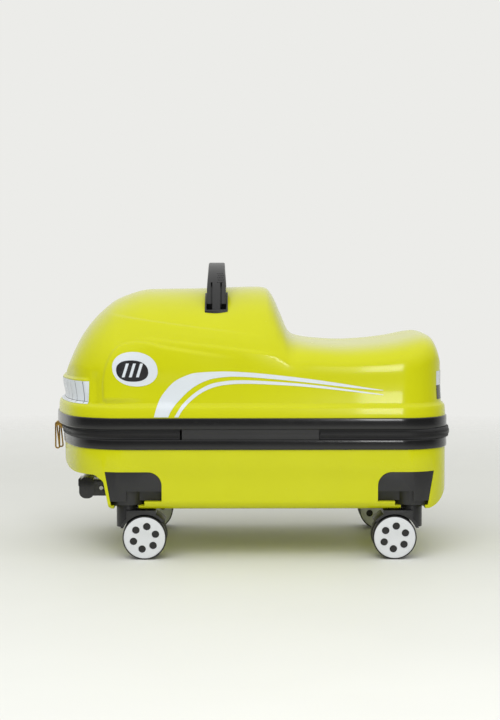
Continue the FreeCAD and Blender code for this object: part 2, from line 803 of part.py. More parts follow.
def swivel_pin(x, y):
    """Pin that holds a fork under its boss, with a head at each end."""
    boss_top = housing_bottom + boss_height
    low = wheel_diameter - swivel_head_height
    top = boss_top + swivel_head_height
    head = swivel_head_diameter / 2
    shank = rod(swivel_pin_diameter / 2, vec(x, y, low), vec(x, y, top))
    foot = rod(head, vec(x, y, low - swivel_head_height), vec(x, y, low))
    crown = rod(head, vec(x, y, boss_top), vec(x, y, top))
    return fused([shank, foot, crown])


def make_base():
    outer = base_form(0.0)
    cavity = base_form(shell_wall)
    inner = base_form(housing_wall)
    pockets, reliefs, screws, pins, screw_room = [], [], [], [], []
    for end, side, x, y, name in caster_places():
        low = base_bottom - overcut
        pockets.append(pocket(x, y, end, side))
        relief_top = base_bottom + swivel_relief_depth
        reliefs.append(rod(swivel_relief_radius, vec(x, y, low), vec(x, y, relief_top)))
        cavity = cavity.cut(pocket_block(x, end, side, pocket_gap + shell_wall, low))
        holes = []
        for spot in (-1, 1):
            place = vec(x - end * (housing_length / 2 - housing_overlap) + spot * caster_screw_spread / 2,
                        side * (half_width - housing_inset + caster_screw_inset),
                        housing_top + pocket_gap + shell_wall)
            screws.append(screw_along(place, (0, 0, -1), 2 * shell_wall + housing_wall + pocket_gap))
            bottom = vec(place.x, place.y, housing_top - 2 * housing_wall)
            holes.append(rod(screw_diameter / 2 + fit_gap, bottom, place))
        screw_room += holes
        export("caster_housing_" + name, [caster_housing(x, y, end, side, outer, inner, holes)])
        pins.append(swivel_pin(x, y))
    tube_end = bay_x + bay_lean + 2 * shell_wall
    tube_holes = [rod(bushing_diameter / 2 + fit_gap, vec(-far, side * trolley_y, trolley_z),
                      vec(tube_end, side * trolley_y, trolley_z)) for side in (-1, 1)]
    export("lower_shell", [outer.cut([cavity] + pockets + reliefs + screw_room + tube_holes)])
    export("swivel_pins", pins)
    export("caster_screws", screws)

    rim = ring(0, trim_wall, lower_trim_bottom, lower_trim_top, base_setback)
    lip = ring(0, trim_lip_depth, base_rim, lower_trim_top, base_setback)
    export("lower_trim", [fused([rim, lip])])
    return cavity


# Casters: a swivelling fork with two wheels on one axle

def make_casters():
    for end, side, x, y, name in caster_places():
        wheel_x = x - end * caster_trail
        hub = vec(wheel_x, y, wheel_radius)
        neck_radius = fork_neck_diameter / 2
        neck = rod(neck_radius, vec(x, y, wheel_diameter - fork_tip_drop), vec(x, y, fork_top))
        guard_end = wheel_x - end * guard_overhang
        x0, x1 = sorted((x, guard_end))
        guard_y = wheel_pair_half - wheel_side_gap
        guard = box(x0, x1, y - guard_y, y + guard_y, wheel_radius, guard_top)
        arc = rod(guard_round, hub - vec(0, guard_y, 0), hub + vec(0, guard_y, 0))
        arc = arc.common(box(-far, far, -far, far, wheel_radius, far))
        room = rod(wheel_radius + wheel_guard_gap, hub - vec(0, far, 0), hub + vec(0, far, 0))
        yoke = fused([neck, guard, arc]).cut(room)
        web_end = wheel_x - end * axle_diameter
        x0, x1 = sorted((x, web_end))
        web = box(x0, x1, y - fork_web / 2, y + fork_web / 2, wheel_radius, guard_top)
        eye = rod(axle_diameter, hub - vec(0, fork_web / 2, 0), hub + vec(0, fork_web / 2, 0))
        fork = fused([yoke, web, eye])
        head_room = rod(swivel_head_diameter / 2 + seat_gap, vec(x, y, 0),
                        vec(x, y, wheel_diameter - swivel_head_height + seat_gap))
        fork = fork.cut(rod(swivel_pin_diameter / 2 + running_gap, vec(x, y, 0), vec(x, y, far)))
        fork = fork.cut(head_room)
        fork = fork.cut(rod(axle_diameter / 2 + press_gap, hub - vec(0, far, 0), hub + vec(0, far, 0)))
        export("caster_fork_" + name, [fork])

        reach = wheel_pair_half - cap_thickness - wheel_side_gap
        axle = rod(axle_diameter / 2, hub - vec(0, reach, 0), hub + vec(0, reach, 0))
        export("caster_axle_" + name, [axle])

        for out, out_name in ((-1, "a"), (1, "b")):
            inner_y = y + out * (fork_web / 2 + wheel_side_gap)
            outer_y = inner_y + out * wheel_width
            start, stop = vec(wheel_x, inner_y, wheel_radius), vec(wheel_x, outer_y, wheel_radius)
            tyre = rod(wheel_radius, start, stop)
            rims = [edge for edge in tyre.Edges if edge.Length > wheel_radius and edge.isClosed()]
            tyre = tyre.makeFillet(tyre_round, rims)
            cap_radius = wheel_radius - cap_rim
            seat = vec(wheel_x, outer_y - out * cap_thickness, wheel_radius)
            tyre = tyre.cut(rod(cap_radius + running_gap, seat, stop + vec(0, out * overcut, 0)))
            hollow = vec(wheel_x, outer_y - out * (cap_thickness + tyre_recess), wheel_radius)
            well = tube(cap_radius - 2 * cap_rim, axle_diameter, hollow, seat)
            tyre = tyre.cut(well)
            tyre = tyre.cut(rod(axle_diameter / 2 + running_gap, start - vec(0, out * overcut, 0), stop))
            holes = []
            for k in range(cap_hole_count):
                angle = math.radians(cap_hole_turn) + 2 * math.pi * k / cap_hole_count
                offset = vec(math.cos(angle), 0, math.sin(angle)) * (cap_hole_circle / 2)
                past = vec(0, out * overcut, 0)
                holes.append(rod(cap_hole_diameter / 2, seat + offset - past, stop + offset + past))
            cap = rod(cap_radius, seat, stop).cut(holes)
            export("tyre_" + name + "_" + out_name, [tyre])
            export("wheel_cap_" + name + "_" + out_name, [cap])


# Trolley handle: three telescoping pairs of tubes, a grip and its lock button

outer_radius = outer_tube_diameter / 2
middle_radius = outer_radius - tube_wall - tube_gap
inner_radius = middle_radius - tube_wall - tube_gap
bush_front = bay_wall_x(trolley_z)
tube_front = bush_front + tube_end_step
tube_rear = half_length - tube_rear_room
socket_rear = bay_wall_x(trolley_z + grip_socket_height / 2) - grip_to_wall
socket_front = socket_rear - grip_socket_length


def make_tubes():
    outer_tubes, middle_tubes, inner_tubes, bushings = [], [], [], []
    for side in (-1, 1):
        def at(x, y=side * trolley_y):
            return vec(x, y, trolley_z)
        outer_tubes.append(tube(outer_radius, outer_radius - tube_wall, at(tube_front), at(tube_rear)))
        middle_tubes.append(tube(middle_radius, middle_radius - tube_wall, at(bush_front),
                                 at(tube_rear - tube_end_step)))
        inner_tubes.append(tube(inner_radius, inner_radius - tube_wall, at(socket_front),
                                at(tube_rear - 2 * tube_end_step)))
        bush = rod(bushing_diameter / 2, at(bush_front), at(bush_front + bushing_length))
        bush = bush.cut(rod(outer_radius + running_gap, at(tube_front), at(tube_rear)))
        bushings.append(bush.cut(rod(middle_radius + running_gap, at(bush_front - overcut), at(tube_rear))))
    export("trolley_outer_tubes", outer_tubes)
    export("trolley_middle_tubes", middle_tubes)
    export("trolley_inner_tubes", inner_tubes)
    export("trolley_bushings", bushings)


def make_cover(cavity):
    clamp_width = trolley_tube_spacing + 2 * clamp_margin
    cover_width = trolley_tube_spacing + 2 * cover_margin
    clamp = box(tube_rear - clamp_length, tube_rear, -clamp_width / 2, clamp_width / 2, floor_inside,
                floor_inside + clamp_height)
    for side in (-1, 1):
        clamp = clamp.cut(rod(outer_radius + running_gap, vec(0, side * trolley_y, trolley_z),
                              vec(far, side * trolley_y, trolley_z)))
    export("trolley_clamp", [clamp])

    cover_rear = tube_rear + 2 * cover_wall
    cover_top = floor_inside + cover_height
    cover = box(bay_x, cover_rear, -cover_width / 2, cover_width / 2, floor_inside, cover_top)
    cover = cover.cut(box(-far, cover_rear - cover_wall, -cover_width / 2 + cover_wall,
                          cover_width / 2 - cover_wall, 0, cover_top - cover_wall))
    cover = cover.common(cavity)
    export("trolley_cover", [cover])

    margin = lining_gap / 2
    lining_room = [base_form(shell_wall + lining_gap + lining_thickness)]
    lining_room.append(box(-far, cover_rear + margin, -cover_width / 2 - margin, cover_width / 2 + margin,
                           0, cover_top + margin))
    for end, side, x, y, name in caster_places():
        room = pocket_block(x, end, side, pocket_gap + shell_wall + margin, base_bottom - overcut).BoundBox
        room_top = housing_top + pocket_gap + shell_wall + screw_head_height + margin
        lining_room.append(box(room.XMin, room.XMax, room.YMin, room.YMax, 0, room_top))
    lining = base_form(shell_wall + lining_gap).cut(lining_room)
    lining = lining.common(box(-far, far, -far, far, 0, base_rim))
    export("base_lining", [lining])


def make_grip():
    grip_width = trolley_tube_spacing + 2 * grip_overhang
    grip_rear = socket_front
    grip_front = grip_rear - grip_depth
    half_grip = grip_height / 2
    bar = [(grip_front, trolley_z - half_grip, grip_round), (grip_rear, trolley_z - half_grip, grip_round),
           (grip_rear, trolley_z + half_grip, grip_round), (grip_front, trolley_z + half_grip, grip_round)]
    grip = side_view_prism(bar, -grip_width / 2, grip_width / 2)
    pieces = [grip]
    half_socket = grip_socket_height / 2
    for middle in (-trolley_y, trolley_y):
        pieces.append(box(grip_rear - grip_round, socket_rear, middle - grip_socket_width / 2,
                          middle + grip_socket_width / 2, trolley_z - half_socket, trolley_z + half_socket))
    grip = fused(pieces)
    screws = []
    for side in (-1, 1):
        tube_hole = rod(inner_radius + running_gap, vec(socket_front, side * trolley_y, trolley_z),
                        vec(socket_rear + overcut, side * trolley_y, trolley_z))
        grip = grip.cut(tube_hole)
        place = vec((socket_front + socket_rear) / 2, side * (trolley_y + grip_socket_width / 2), trolley_z)
        length = grip_socket_width / 2 - inner_radius - running_gap
        screws.append(screw_along(place, (0, -side, 0), length, grip_screw_head, grip_screw_diameter))
        inside = place - vec(0, side * (length + overcut), 0)
        grip = grip.cut(rod(grip_screw_diameter / 2 + fit_gap / 2, place, inside))
    half_button = button_height / 2
    bar_rear = grip_front + button_depth
    bar_front = bar_rear - lock_bar
    bar_end = trolley_y + lock_bar / 2
    well_y = button_length / 2 + seat_gap
    well_z = half_button + seat_gap
    travel_end = bar_rear + button_travel + seat_gap
    well = box(grip_front - overcut, travel_end, -well_y, well_y, trolley_z - well_z, trolley_z + well_z)
    channel_z = lock_bar / 2 + seat_gap
    channel = box(bar_front - seat_gap, travel_end, -bar_end - seat_gap, bar_end + seat_gap,
                  trolley_z - channel_z, trolley_z + channel_z)
    grip = grip.cut(well).cut(channel)
    for side in (-1, 1):
        grip = grip.cut(rod(lock_rod_diameter / 2 + seat_gap, vec(bar_front, side * trolley_y, trolley_z),
                            vec(socket_rear, side * trolley_y, trolley_z)))
    export("trolley_grip", [grip])
    export("grip_screws", screws)

    face = [(grip_front - button_proud, trolley_z - half_button, button_round),
            (bar_front, trolley_z - half_button, 0),
            (bar_front, trolley_z + half_button, 0),
            (grip_front - button_proud, trolley_z + half_button, button_round)]
    button = side_view_prism(face, -button_length / 2, button_length / 2)
    export("grip_button", [button])
    bar_pieces = [box(bar_front, bar_rear, -bar_end, bar_end, trolley_z - lock_bar / 2,
                      trolley_z + lock_bar / 2)]
    for side in (-1, 1):
        start = vec(bar_front + lock_bar / 2, side * trolley_y, trolley_z)
        end = vec(bar_rear + lock_rod_length, side * trolley_y, trolley_z)
        bar_pieces.append(rod(lock_rod_diameter / 2, start, end))
    export("lock_bar", [fused(bar_pieces)])


os.makedirs("parts", exist_ok=True)
make_lid()
make_band()
make_sliders()
base_cavity = make_base()
make_casters()
make_tubes()
make_cover(base_cavity)
make_grip()
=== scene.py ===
import json
import math

import bmesh
import bpy
import numpy as np
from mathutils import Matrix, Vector, noise
from mathutils.bvhtree import BVHTree


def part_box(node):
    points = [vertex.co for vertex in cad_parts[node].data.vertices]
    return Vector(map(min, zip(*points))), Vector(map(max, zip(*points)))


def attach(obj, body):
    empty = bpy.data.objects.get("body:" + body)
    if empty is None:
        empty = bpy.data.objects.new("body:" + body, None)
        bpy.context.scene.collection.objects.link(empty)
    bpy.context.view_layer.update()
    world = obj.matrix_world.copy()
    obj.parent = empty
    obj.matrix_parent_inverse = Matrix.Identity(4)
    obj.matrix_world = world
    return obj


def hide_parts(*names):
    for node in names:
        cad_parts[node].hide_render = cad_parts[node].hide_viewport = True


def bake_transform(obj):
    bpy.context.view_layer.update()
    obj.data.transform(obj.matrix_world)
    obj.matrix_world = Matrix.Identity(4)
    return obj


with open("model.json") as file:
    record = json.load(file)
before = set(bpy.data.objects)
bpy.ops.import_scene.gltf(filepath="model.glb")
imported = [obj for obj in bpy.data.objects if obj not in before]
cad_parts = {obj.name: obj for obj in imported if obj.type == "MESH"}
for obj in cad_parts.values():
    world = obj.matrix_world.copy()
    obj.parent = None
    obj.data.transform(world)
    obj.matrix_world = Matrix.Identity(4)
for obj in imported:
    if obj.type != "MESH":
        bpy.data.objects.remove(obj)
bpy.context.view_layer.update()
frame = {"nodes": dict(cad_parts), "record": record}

# Forms are worked out in millimetres, in the frame of the CAD part: the nose points along -X, the hinge
# is on the near side at -Y and the floor is z = 0.
MM = 0.001
body_of = {node: body for body, nodes in frame["record"]["behaviour"]["bodies"].items() for node in nodes}


def extent(*nodes):
    """Lowest and highest corners of CAD nodes, in millimetres."""
    boxes = np.array([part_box(node) for node in nodes]) / MM
    return boxes[:, 0].min(axis=0), boxes[:, 1].max(axis=0)


def smooth(low, high, value):
    """Eased step from 0 at low to 1 at high."""
    t = np.clip((value - low) / (high - low), 0.0, 1.0)
    return t * t * (3 - 2 * t)


def curve(points, count):
    """Evenly spaced points on a smooth line through the given ones."""
    points = np.asarray(points, float)
    ends = np.vstack([2 * points[0] - points[1], points, 2 * points[-1] - points[-2]])
    t = np.linspace(0, 1, 17)[:-1, None]
    runs = []
    for a, b, c, d in zip(ends, ends[1:], ends[2:], ends[3:]):
        bend = (2 * a - 5 * b + 4 * c - d) * t ** 2 + (3 * b - a - 3 * c + d) * t ** 3
        runs.append(b + ((c - a) * t + bend) / 2)
    line = np.vstack(runs + [points[-1:]])
    walked = np.concatenate([[0], np.cumsum(np.linalg.norm(np.diff(line, axis=0), axis=1))])
    marks = np.linspace(0, walked[-1], count)
    return np.stack([np.interp(marks, walked, column) for column in line.T], axis=1)


# Finishes

class Wire:
    """A shader socket whose arithmetic adds Math nodes."""

    def __init__(self, finish, socket):
        self.finish = finish
        self.socket = socket

    def math(self, operation, first, second):
        return self.finish.node("Math", {"operation": operation}, {0: first, 1: second})

    def __add__(self, other):
        return self.math("ADD", self, other)

    def __radd__(self, other):
        return self.math("ADD", other, self)

    def __sub__(self, other):
        return self.math("SUBTRACT", self, other)

    def __rsub__(self, other):
        return self.math("SUBTRACT", other, self)

    def __mul__(self, other):
        return self.math("MULTIPLY", self, other)

    def __rmul__(self, other):
        return self.math("MULTIPLY", other, self)


class Finish:
    """A procedural material and the record's slot that it belongs to."""

    def __init__(self, name, slot=None):
        self.material = bpy.data.materials.new(name)
        self.material.use_nodes = True
        self.tree = self.material.node_tree
        self.slot = slot

    def put(self, socket, value):
        if isinstance(value, Wire):
            self.tree.links.new(value.socket, socket)
        else:
            socket.default_value = value

    def node(self, kind, settings=None, sockets=None, output=0):
        """Adds a node, sets it up, fills or links its sockets, and gives one of its outputs."""
        made = self.tree.nodes.new("ShaderNode" + kind)
        for key, value in (settings or {}).items():
            setattr(made, key, value)
        for key, value in (sockets or {}).items():
            self.put(made.inputs[key], value)
        return Wire(self, made.outputs[output])

    def place(self, stretch=(1, 1, 1)):
        here = self.node("TexCoord", output="Object")
        return self.node("Mapping", sockets={"Vector": here, "Scale": stretch})

    def noise(self, size, detail=2.0, stretch=(1, 1, 1)):
        """Noise whose blotches are about size millimetres across."""
        sockets = {"Vector": self.place(stretch), "Scale": 1 / (size * MM), "Detail": detail}
        return self.node("TexNoise", sockets=sockets)

    def between(self, value, low, high):
        """0 below low, 1 above high."""
        return self.node("MapRange", sockets={"Value": value, "From Min": low, "From Max": high})

    def mix(self, first, second, share):
        return self.node("Mix", {"data_type": "RGBA"}, {0: share, 6: first, 7: second}, output=2)

    def bump(self, height, depth):
        """Surface normal under a height of 0 to 1 that stands for depth millimetres."""
        return self.node("Bump", sockets={"Height": height, "Distance": depth * MM, "Strength": 1.0})

    def shade(self, **sockets):
        shader = self.tree.nodes["Principled BSDF"]
        for key, value in sockets.items():
            self.put(shader.inputs[key.replace("_", " ")], value)
        return self


class Studio(Finish):
    """The nodes of the world round the stage."""

    def __init__(self, world):
        self.tree = world.node_tree


def tint(red, green, blue):
    """Scene colour of an 8-bit screen colour."""
    screen = np.array([red, green, blue]) / 255
    return (*np.where(screen < 0.04045, screen / 12.92, ((screen + 0.055) / 1.055) ** 2.4), 1.0)


def moulding(name, slot, colour, worn, roughness, grain, depth, coat=0.0, gloss=0.5):
    """Moulded plastic: faint blotches of tone, uneven gloss and a fine skin."""
    finish = Finish(name, slot)
    cloud = finish.noise(45.0, 3.0)
    rub = finish.between(finish.noise(7.0, 6.0), 0.55, 0.8)
    skin = finish.noise(grain, 2.0)
    base = finish.mix(finish.mix(colour, worn, cloud), worn, rub * 0.5)
    rough = roughness + 0.05 * cloud + 0.07 * rub
    normal = finish.bump(skin, depth)
    return finish.shade(Base_Color=base, Roughness=rough, Normal=normal, Specular_IOR_Level=gloss,
                        Coat_Weight=coat, Coat_Roughness=0.06)


def cloth(name, slot, colour, slub_and_hollow_shade, thread, depth, sheen):
    """Woven cloth: two sets of threads at right angles, with slubs of random tone, and painted shade where
    the weave is low.
    """
    finish = Finish(name, slot)
    waves = []
    for turn in ("X", "Y", "Z"):
        sockets = {"Vector": finish.place(), "Scale": 0.314 / (thread * MM), "Distortion": 1.2, "Detail": 1.0}
        waves.append(finish.node("TexWave", {"bands_direction": turn}, sockets, output="Fac"))
    weave = (waves[0] + waves[1] + waves[2]) * 0.333
    slub = finish.noise(9.0, 4.0)
    # painted shade: the darker colour falls where the weave is low, in the hollows between threads; the slubs
    # add random tone
    base = finish.mix(slub_and_hollow_shade, colour, finish.between(weave * 0.6 + slub * 0.4, 0.2, 0.8))
    normal = finish.bump(weave + slub * 0.3, depth)
    return finish.shade(Base_Color=base, Roughness=0.8 + 0.15 * slub, Normal=normal, Sheen_Weight=sheen)


def metal(name, slot, colour, dull, roughness, stretch):
    """Drawn or plated metal with fine marks along its length."""
    finish = Finish(name, slot)
    marks = finish.noise(3.0, 5.0, stretch)
    stain = finish.noise(12.0, 3.0)
    base = finish.mix(colour, dull, finish.between(stain, 0.35, 0.8))
    normal = finish.bump(marks, 0.01)
    return finish.shade(Base_Color=base, Metallic=1.0, Roughness=roughness + 0.15 * marks, Normal=normal)


shell_yellow = moulding("shell_yellow", "yellow_shell", tint(206, 209, 18), tint(200, 202, 16),
                        roughness=0.2, grain=3.5, depth=0.006, coat=0.25, gloss=0.2)
trim_black = moulding("trim_black", "black_trim", tint(18, 18, 19), tint(24, 24, 25),
                      roughness=0.16, grain=2.5, depth=0.006, coat=0.3, gloss=0.4)
moulded_black = moulding("moulded_black", "black_plastic", tint(30, 30, 31), tint(42, 42, 43),
                         roughness=0.38, grain=0.7, depth=0.03)
grip_black = moulding("grip_black", "black_plastic", tint(24, 24, 25), tint(32, 32, 33),
                      roughness=0.22, grain=1.6, depth=0.012, coat=0.2)
strap_black = moulding("strap_black", "black_plastic", tint(38, 38, 39), tint(52, 52, 53),
                       roughness=0.36, grain=0.6, depth=0.025)
hinge_vinyl = moulding("hinge_vinyl", "zip_fabric", tint(34, 34, 35), tint(44, 44, 45),
                       roughness=0.5, grain=0.9, depth=0.06)
zip_cloth = cloth("zip_cloth", "zip_fabric", tint(36, 36, 38), tint(18, 18, 19),
                  thread=0.5, depth=0.08, sheen=0.2)
coil_black = moulding("coil_black", "zip_fabric", tint(28, 28, 29), tint(40, 40, 41),
                      roughness=0.3, grain=0.8, depth=0.02)
thread_grey = cloth("thread_grey", "zip_fabric", tint(78, 78, 80), tint(50, 50, 52),
                    thread=0.3, depth=0.04, sheen=0.1)
lining_cloth = cloth("lining_cloth", "lining_fabric", tint(88, 90, 94), tint(58, 60, 63),
                     thread=0.8, depth=0.12, sheen=0.3)
tyre_rubber = moulding("tyre_rubber", "tyre_black", tint(27, 27, 27), tint(40, 39, 38),
                       roughness=0.55, grain=0.5, depth=0.03)
cap_white = moulding("cap_white", "cap_white", tint(222, 225, 228), tint(206, 208, 210),
                     roughness=0.32, grain=0.45, depth=0.02)
graphic_white = moulding("graphic_white", "yellow_shell", tint(224, 231, 238), tint(214, 220, 226),
                         roughness=0.22, grain=4.0, depth=0.004)
graphic_black = moulding("graphic_black", "yellow_shell", tint(30, 30, 33), tint(40, 40, 43),
                         roughness=0.22, grain=4.0, depth=0.004)
screw_steel = metal("screw_steel", "screw_steel", tint(196, 196, 194), tint(150, 149, 146),
                    roughness=0.24, stretch=(1, 1, 1))
tube_metal = metal("tube_aluminium", "tube_aluminium", tint(205, 207, 210), tint(172, 174, 178),
                   roughness=0.22, stretch=(0.05, 1, 1))
pull_brass = metal("pull_brass", "zip_brass", tint(196, 158, 84), tint(138, 104, 50),
                   roughness=0.24, stretch=(1, 1, 0.2))


# Pieces

class Form:
    """Points and faces of a piece, in millimetres."""

    def __init__(self):
        self.points = []
        self.faces = []

    def add(self, points, faces):
        start = len(self.points)
        self.points.extend(np.asarray(points, float).reshape(-1, 3).tolist())
        self.faces.extend([start + i for i in face] for face in faces)

    def sheet(self, rows, round_rows=False, round_columns=False):
        """Quads over a grid of points, closed round on either way if asked."""
        rows = np.asarray(rows, float)
        count, width = rows.shape[:2]
        faces = []
        for r in range(count if round_rows else count - 1):
            s = (r + 1) % count
            for c in range(width if round_columns else width - 1):
                d = (c + 1) % width
                faces.append((r * width + c, r * width + d, s * width + d, s * width + c))
        self.add(rows, faces)

    def bar(self, rows):
        """Closed tube through rings of points, with flat ends."""
        rows = np.asarray(rows, float)
        self.sheet(rows, round_columns=True)
        width = rows.shape[1]
        self.add(rows[0], [range(width)])
        self.add(rows[-1], [range(width)])

    def block(self, centre, half, turn=0.0):
        """Small box, turned about the upright through its centre."""
        signs = np.array([(x, y, z) for z in (-1, 1) for y in (-1, 1) for x in (-1, 1)], float) * half
        c, s = math.cos(turn), math.sin(turn)
        x, y, z = signs.T
        spun = np.stack([x * c - y * s, x * s + y * c, z], 1)
        sides = [(0, 2, 3, 1), (4, 5, 7, 6), (0, 1, 5, 4), (2, 6, 7, 3), (0, 4, 6, 2), (1, 3, 7, 5)]
        self.add(spun + np.asarray(centre, float), sides)


def make_object(name, form, merge=0.01):
    mesh = bpy.data.meshes.new(name)
    work = bmesh.new()
    corners = [work.verts.new(np.array(point) * MM) for point in form.points]
    for face in form.faces:
        work.faces.new([corners[i] for i in face])
    bmesh.ops.remove_doubles(work, verts=work.verts, dist=merge * MM)
    bmesh.ops.dissolve_degenerate(work, edges=work.edges, dist=1e-7)
    bmesh.ops.recalc_face_normals(work, faces=work.faces)
    work.to_mesh(mesh)
    work.free()
    made = bpy.data.objects.new(name, mesh)
    bpy.context.scene.collection.objects.link(made)
    return made


def evaluated(obj):
    """Puts an object's modifiers into its mesh."""
    bpy.context.view_layer.update()
    mesh = bpy.data.meshes.new_from_object(obj.evaluated_get(bpy.context.evaluated_depsgraph_get()))
    obj.modifiers.clear()
    obj.data = mesh
    return obj


def cut(obj, form):
    """Cuts a closed form out of an object."""
    tool = make_object(obj.name + "_tool", form)
    knife = obj.modifiers.new("cut", "BOOLEAN")
    knife.operation = "DIFFERENCE"
    knife.solver = "EXACT"
    knife.object = tool
    evaluated(obj)
    bpy.data.objects.remove(tool)
    return obj


def thicken(obj, wall, offset=-1.0):
    shell = obj.modifiers.new("wall", "SOLIDIFY")
    shell.thickness = wall * MM
    shell.offset = offset
    return evaluated(obj)


def round_edges(obj, width, sharp=35.0, segments=2):
    """Rounds the edges that turn by more than an angle."""
    work = bmesh.new()
    work.from_mesh(obj.data)
    corner = math.radians(sharp)
    edges = [e for e in work.edges if len(e.link_faces) == 2 and e.calc_face_angle() > corner]
    bmesh.ops.bevel(work, geom=edges, offset=width * MM, segments=segments, profile=0.6, affect="EDGES",
                    clamp_overlap=True)
    work.to_mesh(obj.data)
    work.free()
    return obj


def dress(obj, finish, body, nodes=(), crisp=38.0):
    """Gives a piece its finish, its body and the CAD nodes that it stands for."""
    mesh = obj.data
    mesh.materials.clear()
    mesh.materials.append(finish.material)
    mesh.polygons.foreach_set("use_smooth", [True] * len(mesh.polygons))
    mesh.set_sharp_from_angle(angle=math.radians(crisp))
    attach(obj, body)
    if nodes:
        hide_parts(*nodes)
    return obj


def eased(node, finish, width, sharp=35.0, segments=2):
    """A piece in the shape of a CAD node, with its edges rounded."""
    work = bmesh.new()
    work.from_mesh(frame["nodes"][node].data)
    bmesh.ops.remove_doubles(work, verts=work.verts, dist=0.002 * MM)
    flat = math.radians(0.6)
    bmesh.ops.dissolve_limit(work, angle_limit=flat, verts=work.verts, edges=work.edges)
    mesh = bpy.data.meshes.new(node + "_eased")
    work.to_mesh(mesh)
    work.free()
    made = bpy.data.objects.new(node + "_eased", mesh)
    bpy.context.scene.collection.objects.link(made)
    round_edges(made, width, sharp, segments)
    return dress(made, finish, body_of[node], [node])


# Case outline seen from above

_, band_high = extent("upper_trim")
half_length, half_width, band_top = band_high
bow_radius = 260.0
front_corner_radius = 70.0
rear_corner_radius = 55.0
bow_x = bow_radius - half_length
corner_y = half_width - front_corner_radius
corner_x = bow_x - math.sqrt((bow_radius - front_corner_radius) ** 2 - corner_y ** 2)
tail_y = half_width - rear_corner_radius
tail_x = half_length - rear_corner_radius


def near_outline(setback=0.0, bulge=0.0, spacing=3.0):
    """Points and outward normals of the outline on the near side, from the nose round to the tail."""
    bow = bow_radius - setback
    front_x = bow_x - math.sqrt((bow - front_corner_radius) ** 2 - corner_y ** 2)
    rear_x = tail_x + bulge
    meet = math.pi + math.atan2(corner_y, bow_x - front_x)
    points, normals = [], []

    def arc(x, y, radius, start, end):
        count = max(int(radius * (end - start) / spacing), 4)
        for angle in np.linspace(start, end, count + 1)[:-1]:
            normals.append((math.cos(angle), math.sin(angle)))
            points.append((x + radius * math.cos(angle), y + radius * math.sin(angle)))

    def run(start, end, normal):
        count = max(int(math.dist(start, end) / spacing), 4)
        for t in np.linspace(0, 1, count + 1)[:-1]:
            normals.append(normal)
            points.append((start[0] + (end[0] - start[0]) * t, start[1] + (end[1] - start[1]) * t))

    arc(bow_x, 0, bow, math.pi, meet)
    arc(front_x, -corner_y, front_corner_radius, meet, 1.5 * math.pi)
    run((front_x, -half_width), (rear_x, -half_width), (0.0, -1.0))
    arc(rear_x, -tail_y, rear_corner_radius, 1.5 * math.pi, 2 * math.pi)
    run((half_length + bulge, -tail_y), (half_length + bulge, 0), (1.0, 0.0))
    return np.array(points + [(half_length + bulge, 0)]), np.array(normals + [(1.0, 0.0)])


def whole_outline(setback=0.0, bulge=0.0, spacing=3.0):
    """The whole outline, from the nose along the near side, round the tail and back."""
    points, normals = near_outline(setback, bulge, spacing)
    flip = np.array([1, -1])
    return np.vstack([points, points[-2:0:-1] * flip]), np.vstack([normals, normals[-2:0:-1] * flip])


def rings(points, normals, profile):
    """Rows of points that carry an (inset, height) profile along an outline, one row per profile point."""
    rows = []
    for inset, z in profile:
        rows.append(np.column_stack([points - normals * inset, np.full(len(points), z)]))
    return np.stack(rows)


def outline_depth(x, y):
    """How far a place lies inside the outline."""
    y = np.abs(y)
    bow = bow_radius - np.hypot(x - bow_x, y)
    front = front_corner_radius - np.hypot(x - corner_x, y - corner_y)
    side = half_width - y
    tail = rear_corner_radius - np.hypot(x - tail_x, y - tail_y)
    in_bow = y * (bow_x - corner_x) <= (bow_x - x) * corner_y
    in_tail = (x > tail_x) & (y > tail_y)
    return np.where(x < corner_x, np.where(in_bow, bow, front),
                    np.where(in_tail, tail, np.minimum(side, half_length - x)))


# Lid shell: its skirt and ledge, its dome and seat, and the lines and blocks that style its sides

body_inset = 4.5
side_draft = 3.5
shoulder_rise = 43.0
shoulder_margin = 12.0
lid_wall = 2.5
skirt_inset = 1.65
lid_rim = extent("upper_shell")[0][2]
ledge_top = band_top + 13.0
hood_profile = [
    (7.5, 28.0), (19.0, 64.0), (33.0, 92.0), (51.0, 114.0), (75.0, 132.0), (111.0, 142.0), (168.0, 143.0),
    (238.0, 145.0), (248.0, 143.5), (255.0, 136.0), (266.0, 112.0), (274.0, 94.0), (282.0, 86.5),
]
seat_profile = [
    (152.0, 82.0), (118.0, 80.0), (88.0, 81.5), (60.0, 85.0), (38.0, 89.5), (27.0, 91.0), (18.0, 89.0),
    (12.0, 80.5), (8.5, 66.0), (6.5, 48.0), (5.5, 33.0),
]
crest_x = np.array([along - half_length for along, _ in hood_profile]
                   + [half_length - along for along, _ in seat_profile])
crest_z = np.array([band_top + up for _, up in hood_profile + seat_profile])
steps = np.diff(crest_z) / np.diff(crest_x)
turns = steps[:-1] * steps[1:]
bends = np.where(turns > 0, 2 * turns / np.where(turns > 0, steps[:-1] + steps[1:], 1.0), 0.0)
crest_slope = np.concatenate([steps[:1], bends, steps[-1:]])


def crest_height(x):
    """Height of the lid along its middle."""
    x = np.clip(x, crest_x[0], crest_x[-1])
    i = np.clip(np.searchsorted(crest_x, x, side="right") - 1, 0, len(crest_x) - 2)
    width = crest_x[i + 1] - crest_x[i]
    t = (x - crest_x[i]) / width
    level = (1 + 2 * t) * (1 - t) ** 2 * crest_z[i] + t ** 2 * (3 - 2 * t) * crest_z[i + 1]
    return level + width * (t * (1 - t) ** 2 * crest_slope[i] - t ** 2 * (1 - t) * crest_slope[i + 1])


